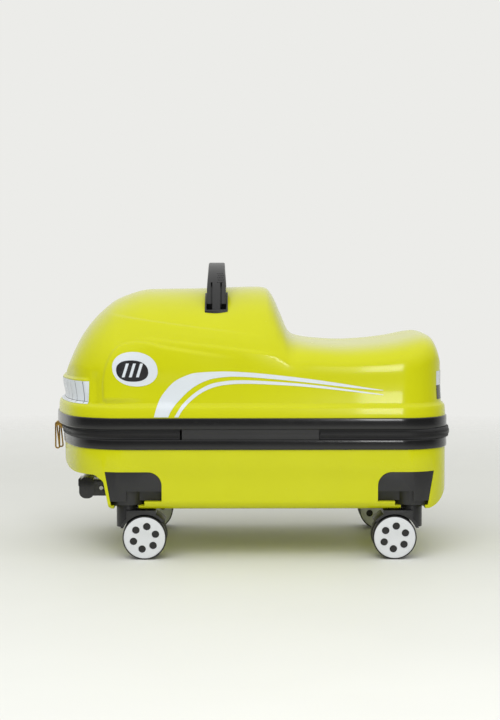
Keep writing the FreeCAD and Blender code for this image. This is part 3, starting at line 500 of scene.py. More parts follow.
def foot_width(x):
    """Half the lid's width at its foot."""
    inset = body_inset
    bow = np.sqrt(np.maximum((bow_radius - inset) ** 2 - (x - bow_x) ** 2, 0))
    front = corner_y + np.sqrt(np.maximum((front_corner_radius - inset) ** 2 - (x - corner_x) ** 2, 0))
    tail = tail_y + np.sqrt(np.maximum((rear_corner_radius - inset) ** 2 - (x - tail_x) ** 2, 0))
    meet_x = bow_x - (bow_radius - inset) * (bow_x - corner_x) / (bow_radius - front_corner_radius)
    front = np.where(x < meet_x, bow, front)
    return np.where(x > tail_x, tail, np.where(x < corner_x, front, half_width - inset))


def in_lid(x, y, z):
    """Whether a place lies inside the lid's plain form."""
    foot = foot_width(x)
    side = np.maximum(np.maximum(foot - side_draft, foot / 2), 1e-6)
    top = crest_height(x)
    shoulder = np.minimum(band_top + shoulder_rise, top - shoulder_margin)
    power = 2.4 + 1.6 * smooth(20.0, 76.0, x)
    share = np.clip(np.abs(y) / side, 0, 1)
    roof = shoulder + (top - shoulder) * (1 - share ** power) ** (1 / power)
    climb = np.clip((z - band_top) / (shoulder - band_top), 0, 1)
    wall = body_inset + side_draft * (1 - (1 - climb) ** 2)
    return (z <= roof) & (outline_depth(x, y) >= wall)


def crease(x, z, line, rise, width, decay, start, end):
    """Height that a styled edge adds on the lower side of its line in side view."""
    line = np.asarray(line)
    run = np.diff(line, axis=0)
    length = np.hypot(*run.T)
    away = np.stack([x, z], -1)[..., None, :] - line[:-1]
    t = np.clip((away * run).sum(-1) / length ** 2, 0, 1)
    gap = np.linalg.norm(away - t[..., None] * run, axis=-1)
    nearest = gap.argmin(-1)[..., None]
    side = np.take_along_axis(run[:, 1] * away[..., 0] - run[:, 0] * away[..., 1], nearest, -1)[..., 0]
    along = np.take_along_axis(np.cumsum(length) - length + t * length, nearest, -1)[..., 0] / length.sum()
    inside = np.sign(side) * gap.min(-1)
    rest = np.exp(-(np.maximum(inside, 0) / decay) ** 2)
    return rise * smooth(-width, width, inside) * rest * smooth(0, start, along) * smooth(1, 1 - end, along)


brow_line = curve([(-165, 178), (-165, 206), (-160, 226), (-151, 240), (-137, 246), (-118, 246), (-96, 241),
                   (-56.5, 235), (-9, 229)], 60)
flank_line = curve([(-133, 253), (-73, 246), (-12.5, 239), (49.5, 231)], 30)
shoulder_line = curve([(-170.5, 281), (-145.5, 275), (-75, 265), (-0.5, 256), (32.5, 251)], 30)
handle_low, handle_high = extent("carry_handle")
handle_x = (handle_low[0] + handle_high[0]) / 2
handle_y = handle_high[1] - 3.0
grille_top = 205.0
grille_rear_x = -184.0
valley_x = -175.0
valley_width = 4.5
valley_depth = 1.8
dish_y = 84.0
dish_depth = 3.2


def styling(points):
    """How far the lid stands proud of its plain form."""
    x, y, z = points[..., 0], np.abs(points[..., 1]), points[..., 2]
    sides = smooth(45, 85, y)
    proud = crease(x, z, brow_line, rise=3.2, width=1.7, decay=34.0, start=0.03, end=0.4)
    proud = proud + crease(x, z, flank_line, rise=1.9, width=1.6, decay=15.0, start=0.15, end=0.35)
    proud = proud + crease(x, z, shoulder_line, rise=1.8, width=1.8, decay=18.0, start=0.2, end=0.4)
    proud = proud * sides
    valley = np.exp(-((x - valley_x) / valley_width) ** 2) * smooth(172, 178, z) * smooth(224, 200, z) * sides
    block = smooth(grille_rear_x + 1.5, grille_rear_x - 1.5, x)
    block = block * smooth(grille_top + 1.2, grille_top - 1.2, z)
    dish = np.exp(-((x - handle_x) / 17) ** 2 - ((y - dish_y) / 26) ** 2) * smooth(250, 270, z)
    block = block * np.clip((z - 190.0) * 0.22, -1.5, 3.0)
    return proud - valley_depth * valley + block - dish_depth * dish


spine_front = -150.0
spine_rear = 165.0
skin_rows = 160


def lid_grid():
    """Points of the near half of the lid's skin, from the nose round to the tail and from rim to crest."""
    points, normals = near_outline(spacing=2.2)
    spine = np.clip(points[:, 0], spine_front, spine_rear)
    reach = np.hypot(points[:, 0] - spine, points[:, 1])
    foot_z = ledge_top + 3.0
    lift = crest_height(spine) - foot_z
    turn = np.radians(np.linspace(0, 90, skin_rows))
    out = (points - np.column_stack([spine, np.zeros_like(spine)])) / reach[:, None]
    across = reach[:, None] * np.cos(turn)
    way = np.stack([out[:, :1] * across, out[:, 1:] * across, lift[:, None] * np.sin(turn)], -1)
    start = np.stack([spine, np.zeros_like(spine), np.full_like(spine, foot_z)], -1)[:, None]
    low = np.zeros(way.shape[:2])
    high = np.full(way.shape[:2], 1.7)
    for _ in range(26):
        middle = (low + high) / 2
        inside = in_lid(*np.moveaxis(start + way * middle[..., None], -1, 0))
        low = np.where(inside, middle, low)
        high = np.where(inside, high, middle)
    skin = start + way * low[..., None]
    skin[[0, -1], :, 1] = 0.0
    for _ in range(3):
        skin[:, 1:-1] = (skin[:, :-2] + 2 * skin[:, 1:-1] + skin[:, 2:]) / 4
    flank = np.gradient(skin, axis=0)
    rise = np.gradient(skin, axis=1)
    facing = np.cross(flank, rise)
    facing /= np.maximum(np.linalg.norm(facing, axis=-1, keepdims=True), 1e-9)
    facing[:, -1] = (0, 0, 1)
    facing *= np.where((facing * way).sum(-1, keepdims=True) < 0, -1, 1)
    facing[[0, -1], :, 1] = 0.0
    skin = skin + facing * styling(skin)[..., None]
    skirt = [(skirt_inset, lid_rim), (skirt_inset, band_top + 1.0), (1.8, band_top + 4.0),
             (2.1, band_top + 8.0), (2.5, band_top + 11.0), (3.1, band_top + 12.5), (3.8, ledge_top + 0.2),
             (4.4, ledge_top + 0.6), (4.7, ledge_top + 1.4)]
    hem = np.moveaxis(rings(points, normals, skirt), 0, 1)
    return np.concatenate([hem, skin], axis=1)


def both_sides(grid):
    form = Form()
    form.sheet(grid)
    form.sheet(grid * (1, -1, 1))
    return form


def rounded_block(low, high, radius, count=6):
    """Upright block with rounded corners seen from above."""
    middle, half = (low + high) / 2, (high - low) / 2
    ring = []
    for k in range(4 * count):
        angle = 2 * math.pi * (k + 0.5) / (4 * count)
        c, s = math.cos(angle), math.sin(angle)
        ring.append((middle[0] + math.copysign(half[0] - radius, c) + radius * c,
                     middle[1] + math.copysign(half[1] - radius, s) + radius * s))
    ring = np.array(ring)
    form = Form()
    form.bar([np.column_stack([ring, np.full(len(ring), z)]) for z in (low[2], high[2])])
    return form


lid_skin = both_sides(lid_grid())
lid_tree = BVHTree.FromPolygons(lid_skin.points, lid_skin.faces)
lid_shell = thicken(make_object("lid_shell", lid_skin, 0.02), lid_wall)
cup_flange = 8.0
cup_gap = 0.1
cup_mouth_half = 13.2
cup_mouth_low, cup_mouth_high = 255.0, 320.0
cup_corner_radius = 3.0
for side in ("near", "far"):
    cup_low, cup_high = extent("handle_cup_" + side)
    low = np.array([handle_x - cup_mouth_half, cup_low[1] + cup_flange - cup_gap, cup_mouth_low])
    high = np.array([handle_x + cup_mouth_half, cup_high[1] - cup_flange + cup_gap, cup_mouth_high])
    cut(lid_shell, rounded_block(low, high, cup_corner_radius))
dress(lid_shell, shell_yellow, "lid", ["upper_shell"], 50.0)


# Graphics on the lid, laid on its skin

off_case = 300.0
print_thickness = 0.2


def stuck(places, way, lift):
    """Places laid on the lid along a direction, lifted off its skin."""
    laid = []
    for place in np.asarray(places, float):
        hit, normal, _, _ = lid_tree.ray_cast(Vector(place), Vector(way))
        facing = normal if normal.dot(Vector(way)) < 0 else -normal
        laid.append(np.array(hit + facing * lift))
    return np.array(laid)


def flank_patch(edges, lift, columns=5):
    """Sheet on the near flank between two lines of (x, z) points."""
    upper, lower = (np.asarray(edge, float) for edge in edges)
    shares = np.linspace(0, 1, columns)[:, None, None]
    flat = upper * (1 - shares) + lower * shares
    rows = []
    for row in flat:
        places = np.column_stack([row[:, 0], np.full(len(row), -off_case), row[:, 1]])
        rows.append(stuck(places, (0, 1, 0), lift))
    return np.array(rows)


def graphic(name, sheets, finish):
    form = Form()
    for sheet in sheets:
        form.sheet(sheet)
        form.sheet(sheet * (1, -1, 1))
    obj = make_object(name, form, 0.001)
    return dress(thicken(obj, print_thickness, 0.0), finish, "lid")


def rounded_patch(centre, half, power, lean, lift, count=48, bands=8):
    """Rounded spot on the near flank, leaning by a share of its height."""
    angles = np.linspace(0, 2 * math.pi, count + 1)
    c, s = np.cos(angles), np.sin(angles)
    u = half[0] * np.sign(c) * np.abs(c) ** (2 / power)
    v = half[1] * np.sign(s) * np.abs(s) ** (2 / power)
    rows = []
    for share in np.linspace(0.02, 1, bands):
        x = centre[0] + share * (u + lean * v)
        z = centre[1] + share * v
        rows.append(stuck(np.column_stack([x, np.full(len(x), -off_case), z]), (0, 1, 0), lift))
    return np.array(rows)


stripe_foot = 163.0
stripe_tip = 151.0
stripe_points = 110
stripe_outer = (
    curve([(-108, stripe_foot), (-105, 174.0), (-101, 184.0), (-95.5, 192.0), (-88.5, 200.0), (-81.5, 205.3),
           (-70.5, 210.3), (-59.5, 213.0), (-31, 214.4), (-9.5, 213.7), (14, 211.9), (50, 208.0),
           (77.5, 204.5), (104.5, 200.5), (132, 196.0), (stripe_tip, 193.2)], stripe_points),
    curve([(-92, stripe_foot), (-89, 169.5), (-84, 176.6), (-78.5, 182.8), (-71.5, 190.0), (-62.5, 197.2),
           (-52.5, 202.6), (-42, 206.2), (-29, 208.0), (-15, 208.5), (8.5, 207.3), (50, 203.4),
           (77.5, 200.4), (104.5, 197.2), (132, 194.2), (stripe_tip, 192.6)], stripe_points),
)
stripe_inner = (
    curve([(-85, stripe_foot), (-81.5, 169.0), (-77, 175.7), (-70.5, 182.8), (-62.5, 189.7), (-52.5, 196.3),
           (-42, 200.8), (-29, 203.2), (-15, 204.4), (8.5, 204.0), (50, 201.2), (77.5, 198.4),
           (104.5, 194.9), (132, 191.0), (stripe_tip, 188.2)], stripe_points),
    curve([(-80.5, stripe_foot), (-77.5, 168.5), (-72.5, 174.8), (-66, 181.4), (-57, 188.6), (-47, 194.0),
           (-36.5, 197.6), (-24, 199.6), (-9.5, 200.4), (8.5, 200.2), (50, 198.0), (77.5, 195.6),
           (104.5, 192.7), (132, 189.6), (stripe_tip, 187.6)], stripe_points),
)
stripe_lift = 0.25
stripes = [flank_patch(edges, stripe_lift) for edges in (stripe_outer, stripe_inner)]
graphic("side_stripes", stripes, graphic_white)

lamp_centre = np.array([-129.5, 217.0])
lamp_lean = -0.12
bowl_centre = lamp_centre + (-3.0, -2.0)
lens_patch = rounded_patch(lamp_centre, (25.5, 19.5), 2.15, lamp_lean, 0.3)
bowl_patch = rounded_patch(bowl_centre, (18.0, 12.0), 2.3, lamp_lean, 0.5)
graphic("lamp_lens", [lens_patch], graphic_white)
graphic("lamp_bowl", [bowl_patch], graphic_black)
lamp_bar_half = 1.6
lamp_bars = []
for offset in (-8.0, 0.0, 8.0):
    bar_x = bowl_centre[0] + offset
    bar_ends = np.array([(bar_x + 2.6, lamp_centre[1] + 6.5), (bar_x - 2.2, lamp_centre[1] - 9.0)])
    bar_edges = [curve(bar_ends + (side * lamp_bar_half, 0.0), 10) for side in (1, -1)]
    lamp_bars.append(flank_patch(bar_edges, 0.7, 3))
graphic("lamp_bars", lamp_bars, graphic_white)


def wrap_patch(first, last, low, high, lift, spacing=2.0):
    """Sheet round an end of the lid between two stations of the near outline."""
    points, normals = near_outline(spacing=spacing)
    walked = np.concatenate([[0], np.cumsum(np.linalg.norm(np.diff(points, axis=0), axis=1))])
    marks = np.linspace(first, last, max(int((last - first) / spacing), 2) + 1)
    x, y = np.interp(marks, walked, points[:, 0]), np.interp(marks, walked, points[:, 1])
    nx, ny = np.interp(marks, walked, normals[:, 0]), np.interp(marks, walked, normals[:, 1])
    rows = []
    for z in np.linspace(low, high, max(int((high - low) / 2.5), 2) + 1):
        row = [stuck([(px + 60 * ax, py + 60 * ay, z)], (-ax, -ay, 0), lift)[0]
               for px, py, ax, ay in zip(x, y, nx, ny)]
        rows.append(row)
    return np.array(rows)


outline_points, _ = near_outline(spacing=1.0)
outline_walk = np.concatenate([[0], np.cumsum(np.linalg.norm(np.diff(outline_points, axis=0), axis=1))])
outline_length = outline_walk[-1]
grille_end = float(np.interp(-187.0, outline_points[:200, 0], outline_walk[:200]))
grille_bar = 17.0
grille_gap = 1.2
panel_low, panel_high = 176.5, 202.5
panel_lift = 0.3
grille_sheets = [wrap_patch(0, (grille_bar - grille_gap) / 2, panel_low, panel_high, panel_lift)]
for start in np.arange(grille_bar / 2, grille_end, grille_bar):
    stop = min(start + grille_bar - grille_gap / 2, grille_end)
    grille_sheets.append(wrap_patch(start + grille_gap / 2, stop, panel_low, panel_high, panel_lift))
gap_sheet = wrap_patch(0, grille_end - 2.0, panel_low + 1.0, panel_high - 1.0, 0.12)
graphic("grille_panel", grille_sheets, graphic_white)
graphic("grille_gaps", [gap_sheet], graphic_black)

check_length = 16.5
check_height = 16.0
checks_low = 181.0
checks_start = outline_length - tail_y - 30.0
white_sheets, black_sheets = [], []
for column, start in enumerate(np.arange(checks_start, outline_length - 1.0, check_length)):
    stop = min(start + check_length, outline_length)
    for row in range(2):
        low = checks_low + check_height * row
        sheets = white_sheets if (row + column) % 2 else black_sheets
        sheets.append(wrap_patch(start, stop, low, low + check_height, panel_lift))
graphic("tail_checks_white", white_sheets, graphic_white)
graphic("tail_checks_black", black_sheets, graphic_black)


# Closure band: crowned trims, the zip and the hinge strip

lower_low, lower_high = extent("lower_trim")
upper_low, _ = extent("upper_trim")
base_setback = lower_low[0] + half_length
zip_setback = base_setback / 2
zip_bulge = 4.5
trim_lip_depth = 12.0
trim_lip = 2.5


def trim_profile(low, high, lip_low):
    """Section of a trim: a crowned face with rolled edges, and a lip behind it."""
    lip_high = lip_low + trim_lip
    face = [(1.45, low), (0.75, low + 0.12), (0.25, low + 0.6), (0.1, low + 1.4)]
    face += [(inset, low + share * (high - low)) for inset, share in ((0.02, 0.35), (0.0, 0.5), (0.02, 0.65))]
    face += [(0.1, high - 1.4), (0.25, high - 0.6), (0.75, high - 0.12), (1.45, high)]
    if lip_low == low:
        return face + [(1.5, high), (1.5, lip_high), (trim_lip_depth, lip_high), (trim_lip_depth, lip_low)]
    return face + [(trim_lip_depth, lip_high), (trim_lip_depth, lip_low), (1.5, lip_low), (1.5, low)]


def trim(node, setback, lip_low):
    low, high = extent(node)
    form = Form()
    form.sheet(rings(*whole_outline(setback), trim_profile(low[2], high[2], lip_low)), True, True)
    return dress(make_object(node + "_moulding", form, 0.005), trim_black, body_of[node], [node])


trim("lower_trim", base_setback, lower_high[2] - trim_lip)
trim("upper_trim", 0.0, upper_low[2])

strip_low, strip_high = extent("hinge_strip")
hinge_z = (strip_low[2] + strip_high[2]) / 2
zip_low, zip_high = strip_low[2], strip_high[2]
zip_points, zip_normals = whole_outline(zip_setback, zip_bulge, 1.0)
strip_gap = 0.4
open_run = (zip_points[:, 1] < 0) & (zip_points[:, 0] > strip_low[0] - strip_gap)
open_run &= zip_points[:, 0] < strip_high[0] + strip_gap
first_open = int(np.argmax(open_run))
last_open = len(open_run) - 1 - int(np.argmax(open_run[::-1]))
order = np.concatenate([np.arange(last_open + 1, len(zip_points)), np.arange(0, first_open)])
zip_points, zip_normals = zip_points[order], zip_normals[order]
zip_walk = np.concatenate([[0], np.cumsum(np.linalg.norm(np.diff(zip_points, axis=0), axis=1))])


def on_zip(mark):
    """Place, outward normal and turn of the zip's run at a distance along it."""
    x, y = (np.interp(mark, zip_walk, zip_points[:, k]) for k in (0, 1))
    normal = np.array([np.interp(mark, zip_walk, zip_normals[:, k]) for k in (0, 1)])
    normal /= np.linalg.norm(normal)
    return np.array([x, y]), normal, math.atan2(normal[0], -normal[1])


def zip_half(name, node, body, edge, middle):
    """Zip tape from the trim to the middle, its stitching and its row of teeth."""
    way = math.copysign(1.0, middle - edge)
    tape = [(2.6, edge), (2.5, edge + way * 1.2), (2.45, edge + way * 3.0), (2.3, middle - way * 1.9),
            (2.4, middle - way * 0.4), (4.9, middle - way * 0.4), (4.9, edge)]
    form = Form()
    form.bar(np.moveaxis(rings(zip_points[::2], zip_normals[::2], tape), 0, 1))
    dress(make_object(name + "_tape", form, 0.002), zip_cloth, body, [node])
    teeth = Form()
    tooth_pitch = 2.1
    for k in range(int(zip_walk[-1] / tooth_pitch)):
        place, normal, turn = on_zip((k + (0.25 if way > 0 else 0.75)) * tooth_pitch)
        place = place - normal * 1.9
        teeth.block((*place, middle - way * 0.75), np.array([0.62, 0.4, 0.95]), turn)
        teeth.block((*(place - normal * 0.2), middle - way * 1.9), np.array([0.42, 0.35, 0.6]), turn)
    dress(make_object(name + "_teeth", teeth, 0.0), coil_black, body)
    stitches = Form()
    stitch_pitch = 3.4
    for k in range(int(zip_walk[-1] / stitch_pitch)):
        place, normal, turn = on_zip((k + 0.5) * stitch_pitch)
        stitches.block((*(place - normal * 2.45), edge + way * 1.5), np.array([1.2, 0.16, 0.18]), turn)
    dress(make_object(name + "_stitching", stitches, 0.0), thread_grey, body)


zip_half("zip_lower", "zip_half_lower", "base", zip_low, hinge_z)
zip_half("zip_upper", "zip_half_upper", "lid", zip_high, hinge_z)


def hinge_cover():
    """Hinge strip with a soft fold along its middle."""
    columns = np.linspace(strip_low[0], strip_high[0], 76)
    outer_y, inner_y = strip_low[1], strip_high[1]
    fold = [(0.0, 0.3), (0.12, 0.05), (0.3, 0.0), (0.44, 0.18), (0.5, 0.3), (0.56, 0.18), (0.7, 0.0),
            (0.88, 0.05), (1.0, 0.3)]
    section = [(outer_y + inset, zip_low + share * (zip_high - zip_low)) for share, inset in fold]
    section += [(inner_y, zip_high), (inner_y, hinge_z), (inner_y, zip_low)]
    form = Form()
    form.bar([[(x, y, z) for y, z in section] for x in columns])
    return make_object("hinge_cover", form, 0.002)


hinge = hinge_cover()
hinge.data.materials.append(hinge_vinyl.material)
hinge.data.polygons.foreach_set("use_smooth", [True] * len(hinge.data.polygons))
hinge.data.set_sharp_from_angle(angle=math.radians(40))
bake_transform(hinge)
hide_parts("hinge_strip")


# Carry handle: a strap across the dome with two grooves along each leg

handle_bottom, handle_top = handle_low[2], handle_high[2]
handle_thickness = 6.0
handle_end_width = handle_high[0] - handle_low[0]
handle_top_width = 19.0
handle_power = 2.4
groove_turn = 38.0
groove_offset = 5.5
groove_half = 1.0
groove_floor = -1.2
groove_top = 6.0


def strap_section(width, thick, round_off, count=5):
    """Rounded oblong, as (across, out) points."""
    ring = []
    for k in range(4 * count):
        angle = 2 * math.pi * (k + 0.5) / (4 * count)
        c, s = math.cos(angle), math.sin(angle)
        ring.append((math.copysign(width / 2 - round_off, c) + round_off * c,
                     math.copysign(thick / 2 - round_off, s) + round_off * s))
    return np.array(ring)


def strap_place(angle):
    """Place and outward normal, across the case, of the strap's middle line."""
    leg = handle_top - handle_thickness / 2 - handle_bottom
    c, s = math.cos(angle), max(math.sin(angle), 0.0)
    place = np.array([handle_y * math.copysign(abs(c) ** (2 / handle_power), c),
                      handle_bottom + leg * s ** (2 / handle_power)])
    lean = 2 - 2 / handle_power
    normal = np.array([math.copysign(abs(c) ** lean / handle_y, c), s ** lean / leg])
    return place, normal / np.linalg.norm(normal)


def groove_ring(angle, side):
    """Section of one of the strap's grooves, from its floor to outside the strap."""
    place, normal = strap_place(angle)
    corners = [(-groove_half, groove_floor), (groove_half, groove_floor), (groove_half, groove_top),
               (-groove_half, groove_top)]
    return np.array([(handle_x + side * groove_offset + u, *(place + v * normal)) for u, v in corners])


def carry_strap():
    rows = []
    for angle in np.radians(np.linspace(0, 180, 121)):
        place, normal = strap_place(angle)
        share = float(smooth(handle_bottom + 32.0, handle_top - 3.0, place[1]))
        width = handle_end_width + (handle_top_width - handle_end_width) * share
        section = strap_section(width, handle_thickness, 1.7)
        rows.append([(handle_x + u, *(place + v * normal)) for u, v in section])
    form = Form()
    form.bar(rows)
    strap = make_object("carry_strap", form, 0.002)
    grooves, prongs = Form(), Form()
    for side in (-1, 1):
        track = [groove_ring(angle, side) for angle in np.radians(np.linspace(0, groove_turn, 24))]
        track.insert(0, track[0] - (0, 0, 2.0))
        for flip in (1, -1):
            grooves.bar(np.array(track) * (1, flip, 1))
            notch = (handle_x + side * 9.0, flip * handle_y, handle_bottom + 9.0)
            prongs.block(notch, np.array([4.5, 18.0, 11.0]))
    cut(strap, grooves)
    cut(strap, prongs)
    return dress(strap, strap_black, "carry_handle", ["carry_handle"], 45.0)


def strap_dots():
    """Patch of small raised dots towards the tail on each shoulder of the strap."""
    form = Form()
    for k in range(5):
        angle = math.radians(180 - 38.0 - 3.4 * k)
        place, normal = strap_place(angle)
        along = np.array([-normal[1], normal[0]])
        for column in range(4):
            u = handle_x + 1.4 + 1.9 * column + (0.95 if k % 2 else 0.0)
            for flip in (1, -1):
                corners = []
                for v in (-0.6, 0.6):
                    y, z = place + normal * (handle_thickness / 2 + 0.1) + along * v
                    corners.append([(u - 0.6, flip * y, z), (u + 0.6, flip * y, z)])
                form.sheet(corners)
    dots = thicken(make_object("strap_dots", form, 0.0), 0.3, 0.0)
    return dress(dots, trim_black, "carry_handle")


carry_strap()
strap_dots()
for side in ("near", "far"):
    eased("handle_cup_" + side, moulded_black, 0.5)


# Base, casters and trolley

def base_shell():
    """Base shell, with its chin drawn up a little over the trolley grip."""
    shell = eased("lower_shell", shell_yellow, 0.8)
    chin_low, chin_high = 92.0, 112.0
    chin_lift = 4.5
    for vert in shell.data.vertices:
        x, _, z = vert.co / MM
        forward = float(smooth(-169.0, -177.0, x))
        down = min(max((chin_high - z) / (chin_high - chin_low), 0.0), 1.0)
        vert.co.z += chin_lift * forward * down * MM
    return shell


base_shell()


def ring_of(radius, y, count=72):
    angles = np.linspace(0, 2 * math.pi, count, endpoint=False)
    return np.column_stack([radius * np.cos(angles), np.full(count, y), radius * np.sin(angles)])


def wheel(corner, side):
    """One wheel of a caster: a rubber tyre and a white cap with six holes."""
    name = corner + "_" + side
    tyre_low, tyre_high = extent("tyre_" + name)
    cap_low, cap_high = extent("wheel_cap_" + name)
    centre = (tyre_low + tyre_high) / 2
    radius = (tyre_high[2] - tyre_low[2]) / 2
    cap_radius = (cap_high[2] - cap_low[2]) / 2
    out = -1.0 if side == "a" else 1.0
    half = (tyre_high[1] - tyre_low[1]) / 2
    seat = abs(cap_high[1] - cap_low[1])
    profile = [(4.0, -half), (cap_radius - 3.5, -half), (radius - 1.6, -half + 0.1),
               (radius - 0.5, -half + 0.6), (radius, -half + 1.6), (radius, half - 1.5),
               (radius - 0.25, half - 0.7), (radius - 0.8, half - 0.2), (cap_radius + 0.35, half - 0.1),
               (cap_radius + 0.1, half - 0.3), (cap_radius + 0.1, half - seat), (4.0, half - seat)]
    form = Form()
    form.sheet([ring_of(r, y * out) for r, y in profile], True, True)
    tyre = make_object("tyre_" + name + "_rubber", form, 0.002)
    tyre.location = centre * MM
    dress(tyre, tyre_rubber, body_of["tyre_" + name], ["tyre_" + name])

    face = [(0.01, half - 0.3), (6.0, half - 0.3), (6.6, half - 0.15), (cap_radius - 5.0, half - 0.1),
            (cap_radius - 0.9, half - 0.12), (cap_radius - 0.3, half - 0.3), (cap_radius, half - 0.75),
            (cap_radius, half - seat), (0.01, half - seat)]
    form = Form()
    form.sheet([ring_of(r, y * out) for r, y in face], False, True)
    cap = make_object("cap_" + name + "_face", form, 0.03)
    holes = Form()
    turn = {"front": 18.0, "rear": 23.0}[corner.split("_")[0]]
    hole_circle = 13.1
    hole_radius = 4.2
    for k in range(6):
        angle = math.radians(turn + 60 * k)
        spot = np.array([hole_circle * math.cos(angle), 0, hole_circle * math.sin(angle)])
        ends = [(hole_radius, half - seat - 1), (hole_radius, half - 0.7), (hole_radius + 0.55, half + 0.4)]
        holes.bar([ring_of(r, y * out, 28) + spot for r, y in ends])
    cut(cap, holes)
    cap.location = centre * MM
    dress(cap, cap_white, body_of["wheel_cap_" + name], ["wheel_cap_" + name], 30.0)


def fork(corner):
    """Caster fork whose guard ends part of the way down the wheels."""
    made = eased("caster_fork_" + corner, moulded_black, 0.7)
    hub_low, hub_high = extent("caster_axle_" + corner)
    hub = (hub_low + hub_high) / 2
    trail = 1.0 if corner.startswith("front") else -1.0
    ends = Form()
    ends.block(hub + (trail * 30.0, 0, 4.0), np.array([12.0, 40.0, 14.0]))
    ends.block(hub + (-trail * 34.0, 0, -1.0), np.array([12.0, 40.0, 12.0]))
    return dress(cut(made, ends), moulded_black, body_of["caster_fork_" + corner])


for corner in ("front_near", "front_far", "rear_near", "rear_far"):
    eased("caster_housing_" + corner, moulded_black, 0.8)
    fork(corner)
    for side in ("a", "b"):
        wheel(corner, side)

eased("trolley_grip", grip_black, 1.0)
eased("grip_button", grip_black, 0.6)
for name in ("near", "far"):
    eased("zip_slider_" + name, pull_brass, 0.25)

plain_finishes = {
    "trolley_cover": moulded_black, "trolley_clamp": moulded_black, "trolley_bushings": moulded_black,
    "trolley_outer_tubes": tube_metal, "trolley_middle_tubes": tube_metal, "trolley_inner_tubes": tube_metal,
    "swivel_pins": screw_steel, "caster_screws": screw_steel, "handle_screws": screw_steel,
    "grip_screws": screw_steel, "lock_bar": screw_steel, "zip_pull_near": pull_brass,
    "zip_pull_far": pull_brass, "caster_axle_front_near": screw_steel, "caster_axle_front_far": screw_steel,
    "caster_axle_rear_near": screw_steel, "caster_axle_rear_far": screw_steel,
}
for node, finish in plain_finishes.items():
    frame["nodes"][node].data.materials.clear()
    frame["nodes"][node].data.materials.append(finish.material)


pucker_depth = 0.9
pucker_fade = 40.0
lining_mesh = 7.0


def soft_lining(node):
    """A lining in the shape of its CAD node, drawn in by soft puckers that fade out at its rim."""
    work = bmesh.new()
    work.from_mesh(frame["nodes"][node].data)
    bmesh.ops.remove_doubles(work, verts=work.verts, dist=0.002 * MM)
    bmesh.ops.dissolve_limit(work, angle_limit=math.radians(0.6), verts=work.verts, edges=work.edges)
    bmesh.ops.triangulate(work, faces=work.faces)
    for _ in range(6):
        long_edges = [edge for edge in work.edges if edge.calc_length() > lining_mesh * MM]
        bmesh.ops.subdivide_edges(work, edges=long_edges, cuts=1)
        bmesh.ops.triangulate(work, faces=work.faces)
    for vert in work.verts:
        at = vert.co / MM
        inward = Vector((min(max(at.x, -120.0), 120.0), 0.0, hinge_z)) - at
        rim = min(abs(at.z - hinge_z) / pucker_fade, 1.0)
        pucker = 1.0 + noise.noise(at / 30.0) + 0.6 * noise.noise(at / 12.0)
        vert.co += inward.normalized() * (pucker_depth * rim * max(pucker, 0.0)) * MM
    mesh = bpy.data.meshes.new(node + "_soft")
    work.to_mesh(mesh)
    work.free()
    made = bpy.data.objects.new(node + "_soft", mesh)
    bpy.context.scene.collection.objects.link(made)
    return dress(made, lining_cloth, body_of[node], [node], 60.0)


soft_lining("lid_lining")
soft_lining("base_lining")


# Stage: pale floor, soft light and the camera

floor_finish = Finish("floor_pale")
floor_tone = floor_finish.mix(tint(230, 231, 226), tint(225, 226, 221), floor_finish.noise(220.0, 2.0))
reach = floor_finish.node("VectorMath", {"operation": "LENGTH"}, {0: floor_finish.place()}, output="Value")
floor_finish.shade(Base_Color=floor_tone, Roughness=0.55 + 0.1 * floor_finish.noise(60.0, 2.0),
                   Alpha=1.0 - floor_finish.between(reach, 0.75, 1.7))
floor_form = Form()
floor_form.sheet([[(-4000, -4000, 0), (4000, -4000, 0)], [(-4000, 4000, 0), (4000, 4000, 0)]])
floor = make_object("floor", floor_form)
floor.data.materials.append(floor_finish.material)


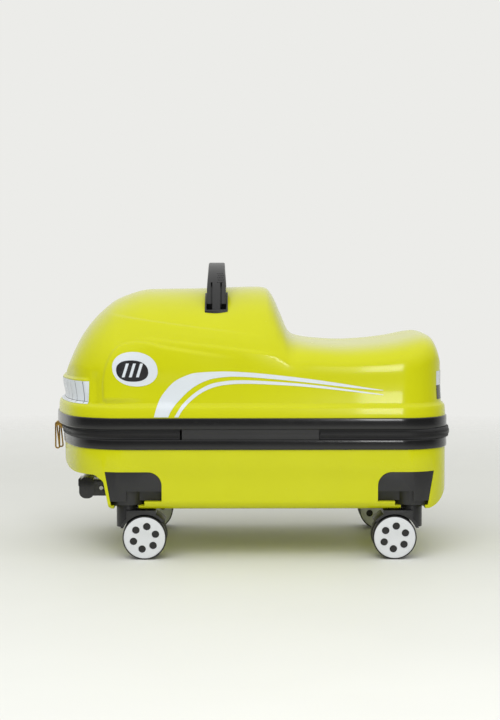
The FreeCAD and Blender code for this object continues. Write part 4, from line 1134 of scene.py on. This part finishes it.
def soft_light(name, place, aim, size, power, mirrored):
    lamp = bpy.data.lights.new(name, "AREA")
    lamp.shape = "RECTANGLE"
    lamp.size, lamp.size_y = size
    lamp.energy = power
    holder = bpy.data.objects.new(name, lamp)
    holder.location = place
    holder.visible_glossy = mirrored
    holder.rotation_euler = (Vector(aim) - Vector(place)).to_track_quat("-Z", "Y").to_euler()
    bpy.context.scene.collection.objects.link(holder)


soft_light("front_softbox", place=(-0.35, -1.9, 1.75), aim=(0.0, 0.0, 0.15), size=(1.8, 1.4), power=26,
           mirrored=False)
soft_light("window", place=(0.275, -1.5, 0.47), aim=(0.15, 0.0, 0.2), size=(0.11, 0.5), power=2.4,
           mirrored=True)

world = bpy.data.worlds.new("studio")
world.use_nodes = True
bpy.context.scene.world = world
studio = Studio(world)
seen = studio.node("LightPath", output="Is Camera Ray")
mirrored = studio.node("LightPath", output="Is Glossy Ray")
way = studio.node("TexCoord", output="Generated")
climb = studio.between(studio.node("SeparateXYZ", sockets={0: way}, output="Z"), 0.05, 0.85)
behind = studio.between(studio.node("SeparateXYZ", sockets={0: way}, output="Y"), -0.1, 0.6)
room = studio.mix((0.13, 0.13, 0.129, 1.0), (0.85, 0.85, 0.83, 1.0), behind)
ceiling = (0.95, 0.95, 0.935, 1.0)
overhead = studio.mix((1.1, 1.1, 1.08, 1.0), (0.75, 0.75, 0.74, 1.0), behind)
fill = studio.mix((0.14, 0.14, 0.138, 1.0), overhead, climb)
sky = studio.mix(fill, studio.mix(room, ceiling, climb), mirrored)
studio.put(world.node_tree.nodes["Background"].inputs["Color"], studio.mix(sky, tint(236, 236, 233), seen))

lens = bpy.data.cameras.new("camera")
lens.lens = 91.8
camera = bpy.data.objects.new("camera", lens)
camera.location = (-0.0192, -2.1999, 0.358)
camera_aim = Vector((0.0016, 0.0, 0.219))
camera.rotation_euler = (camera_aim - camera.location).to_track_quat("-Z", "Y").to_euler()
bpy.context.scene.collection.objects.link(camera)
bpy.context.scene.camera = camera
bpy.context.scene.view_settings.view_transform = "Standard"
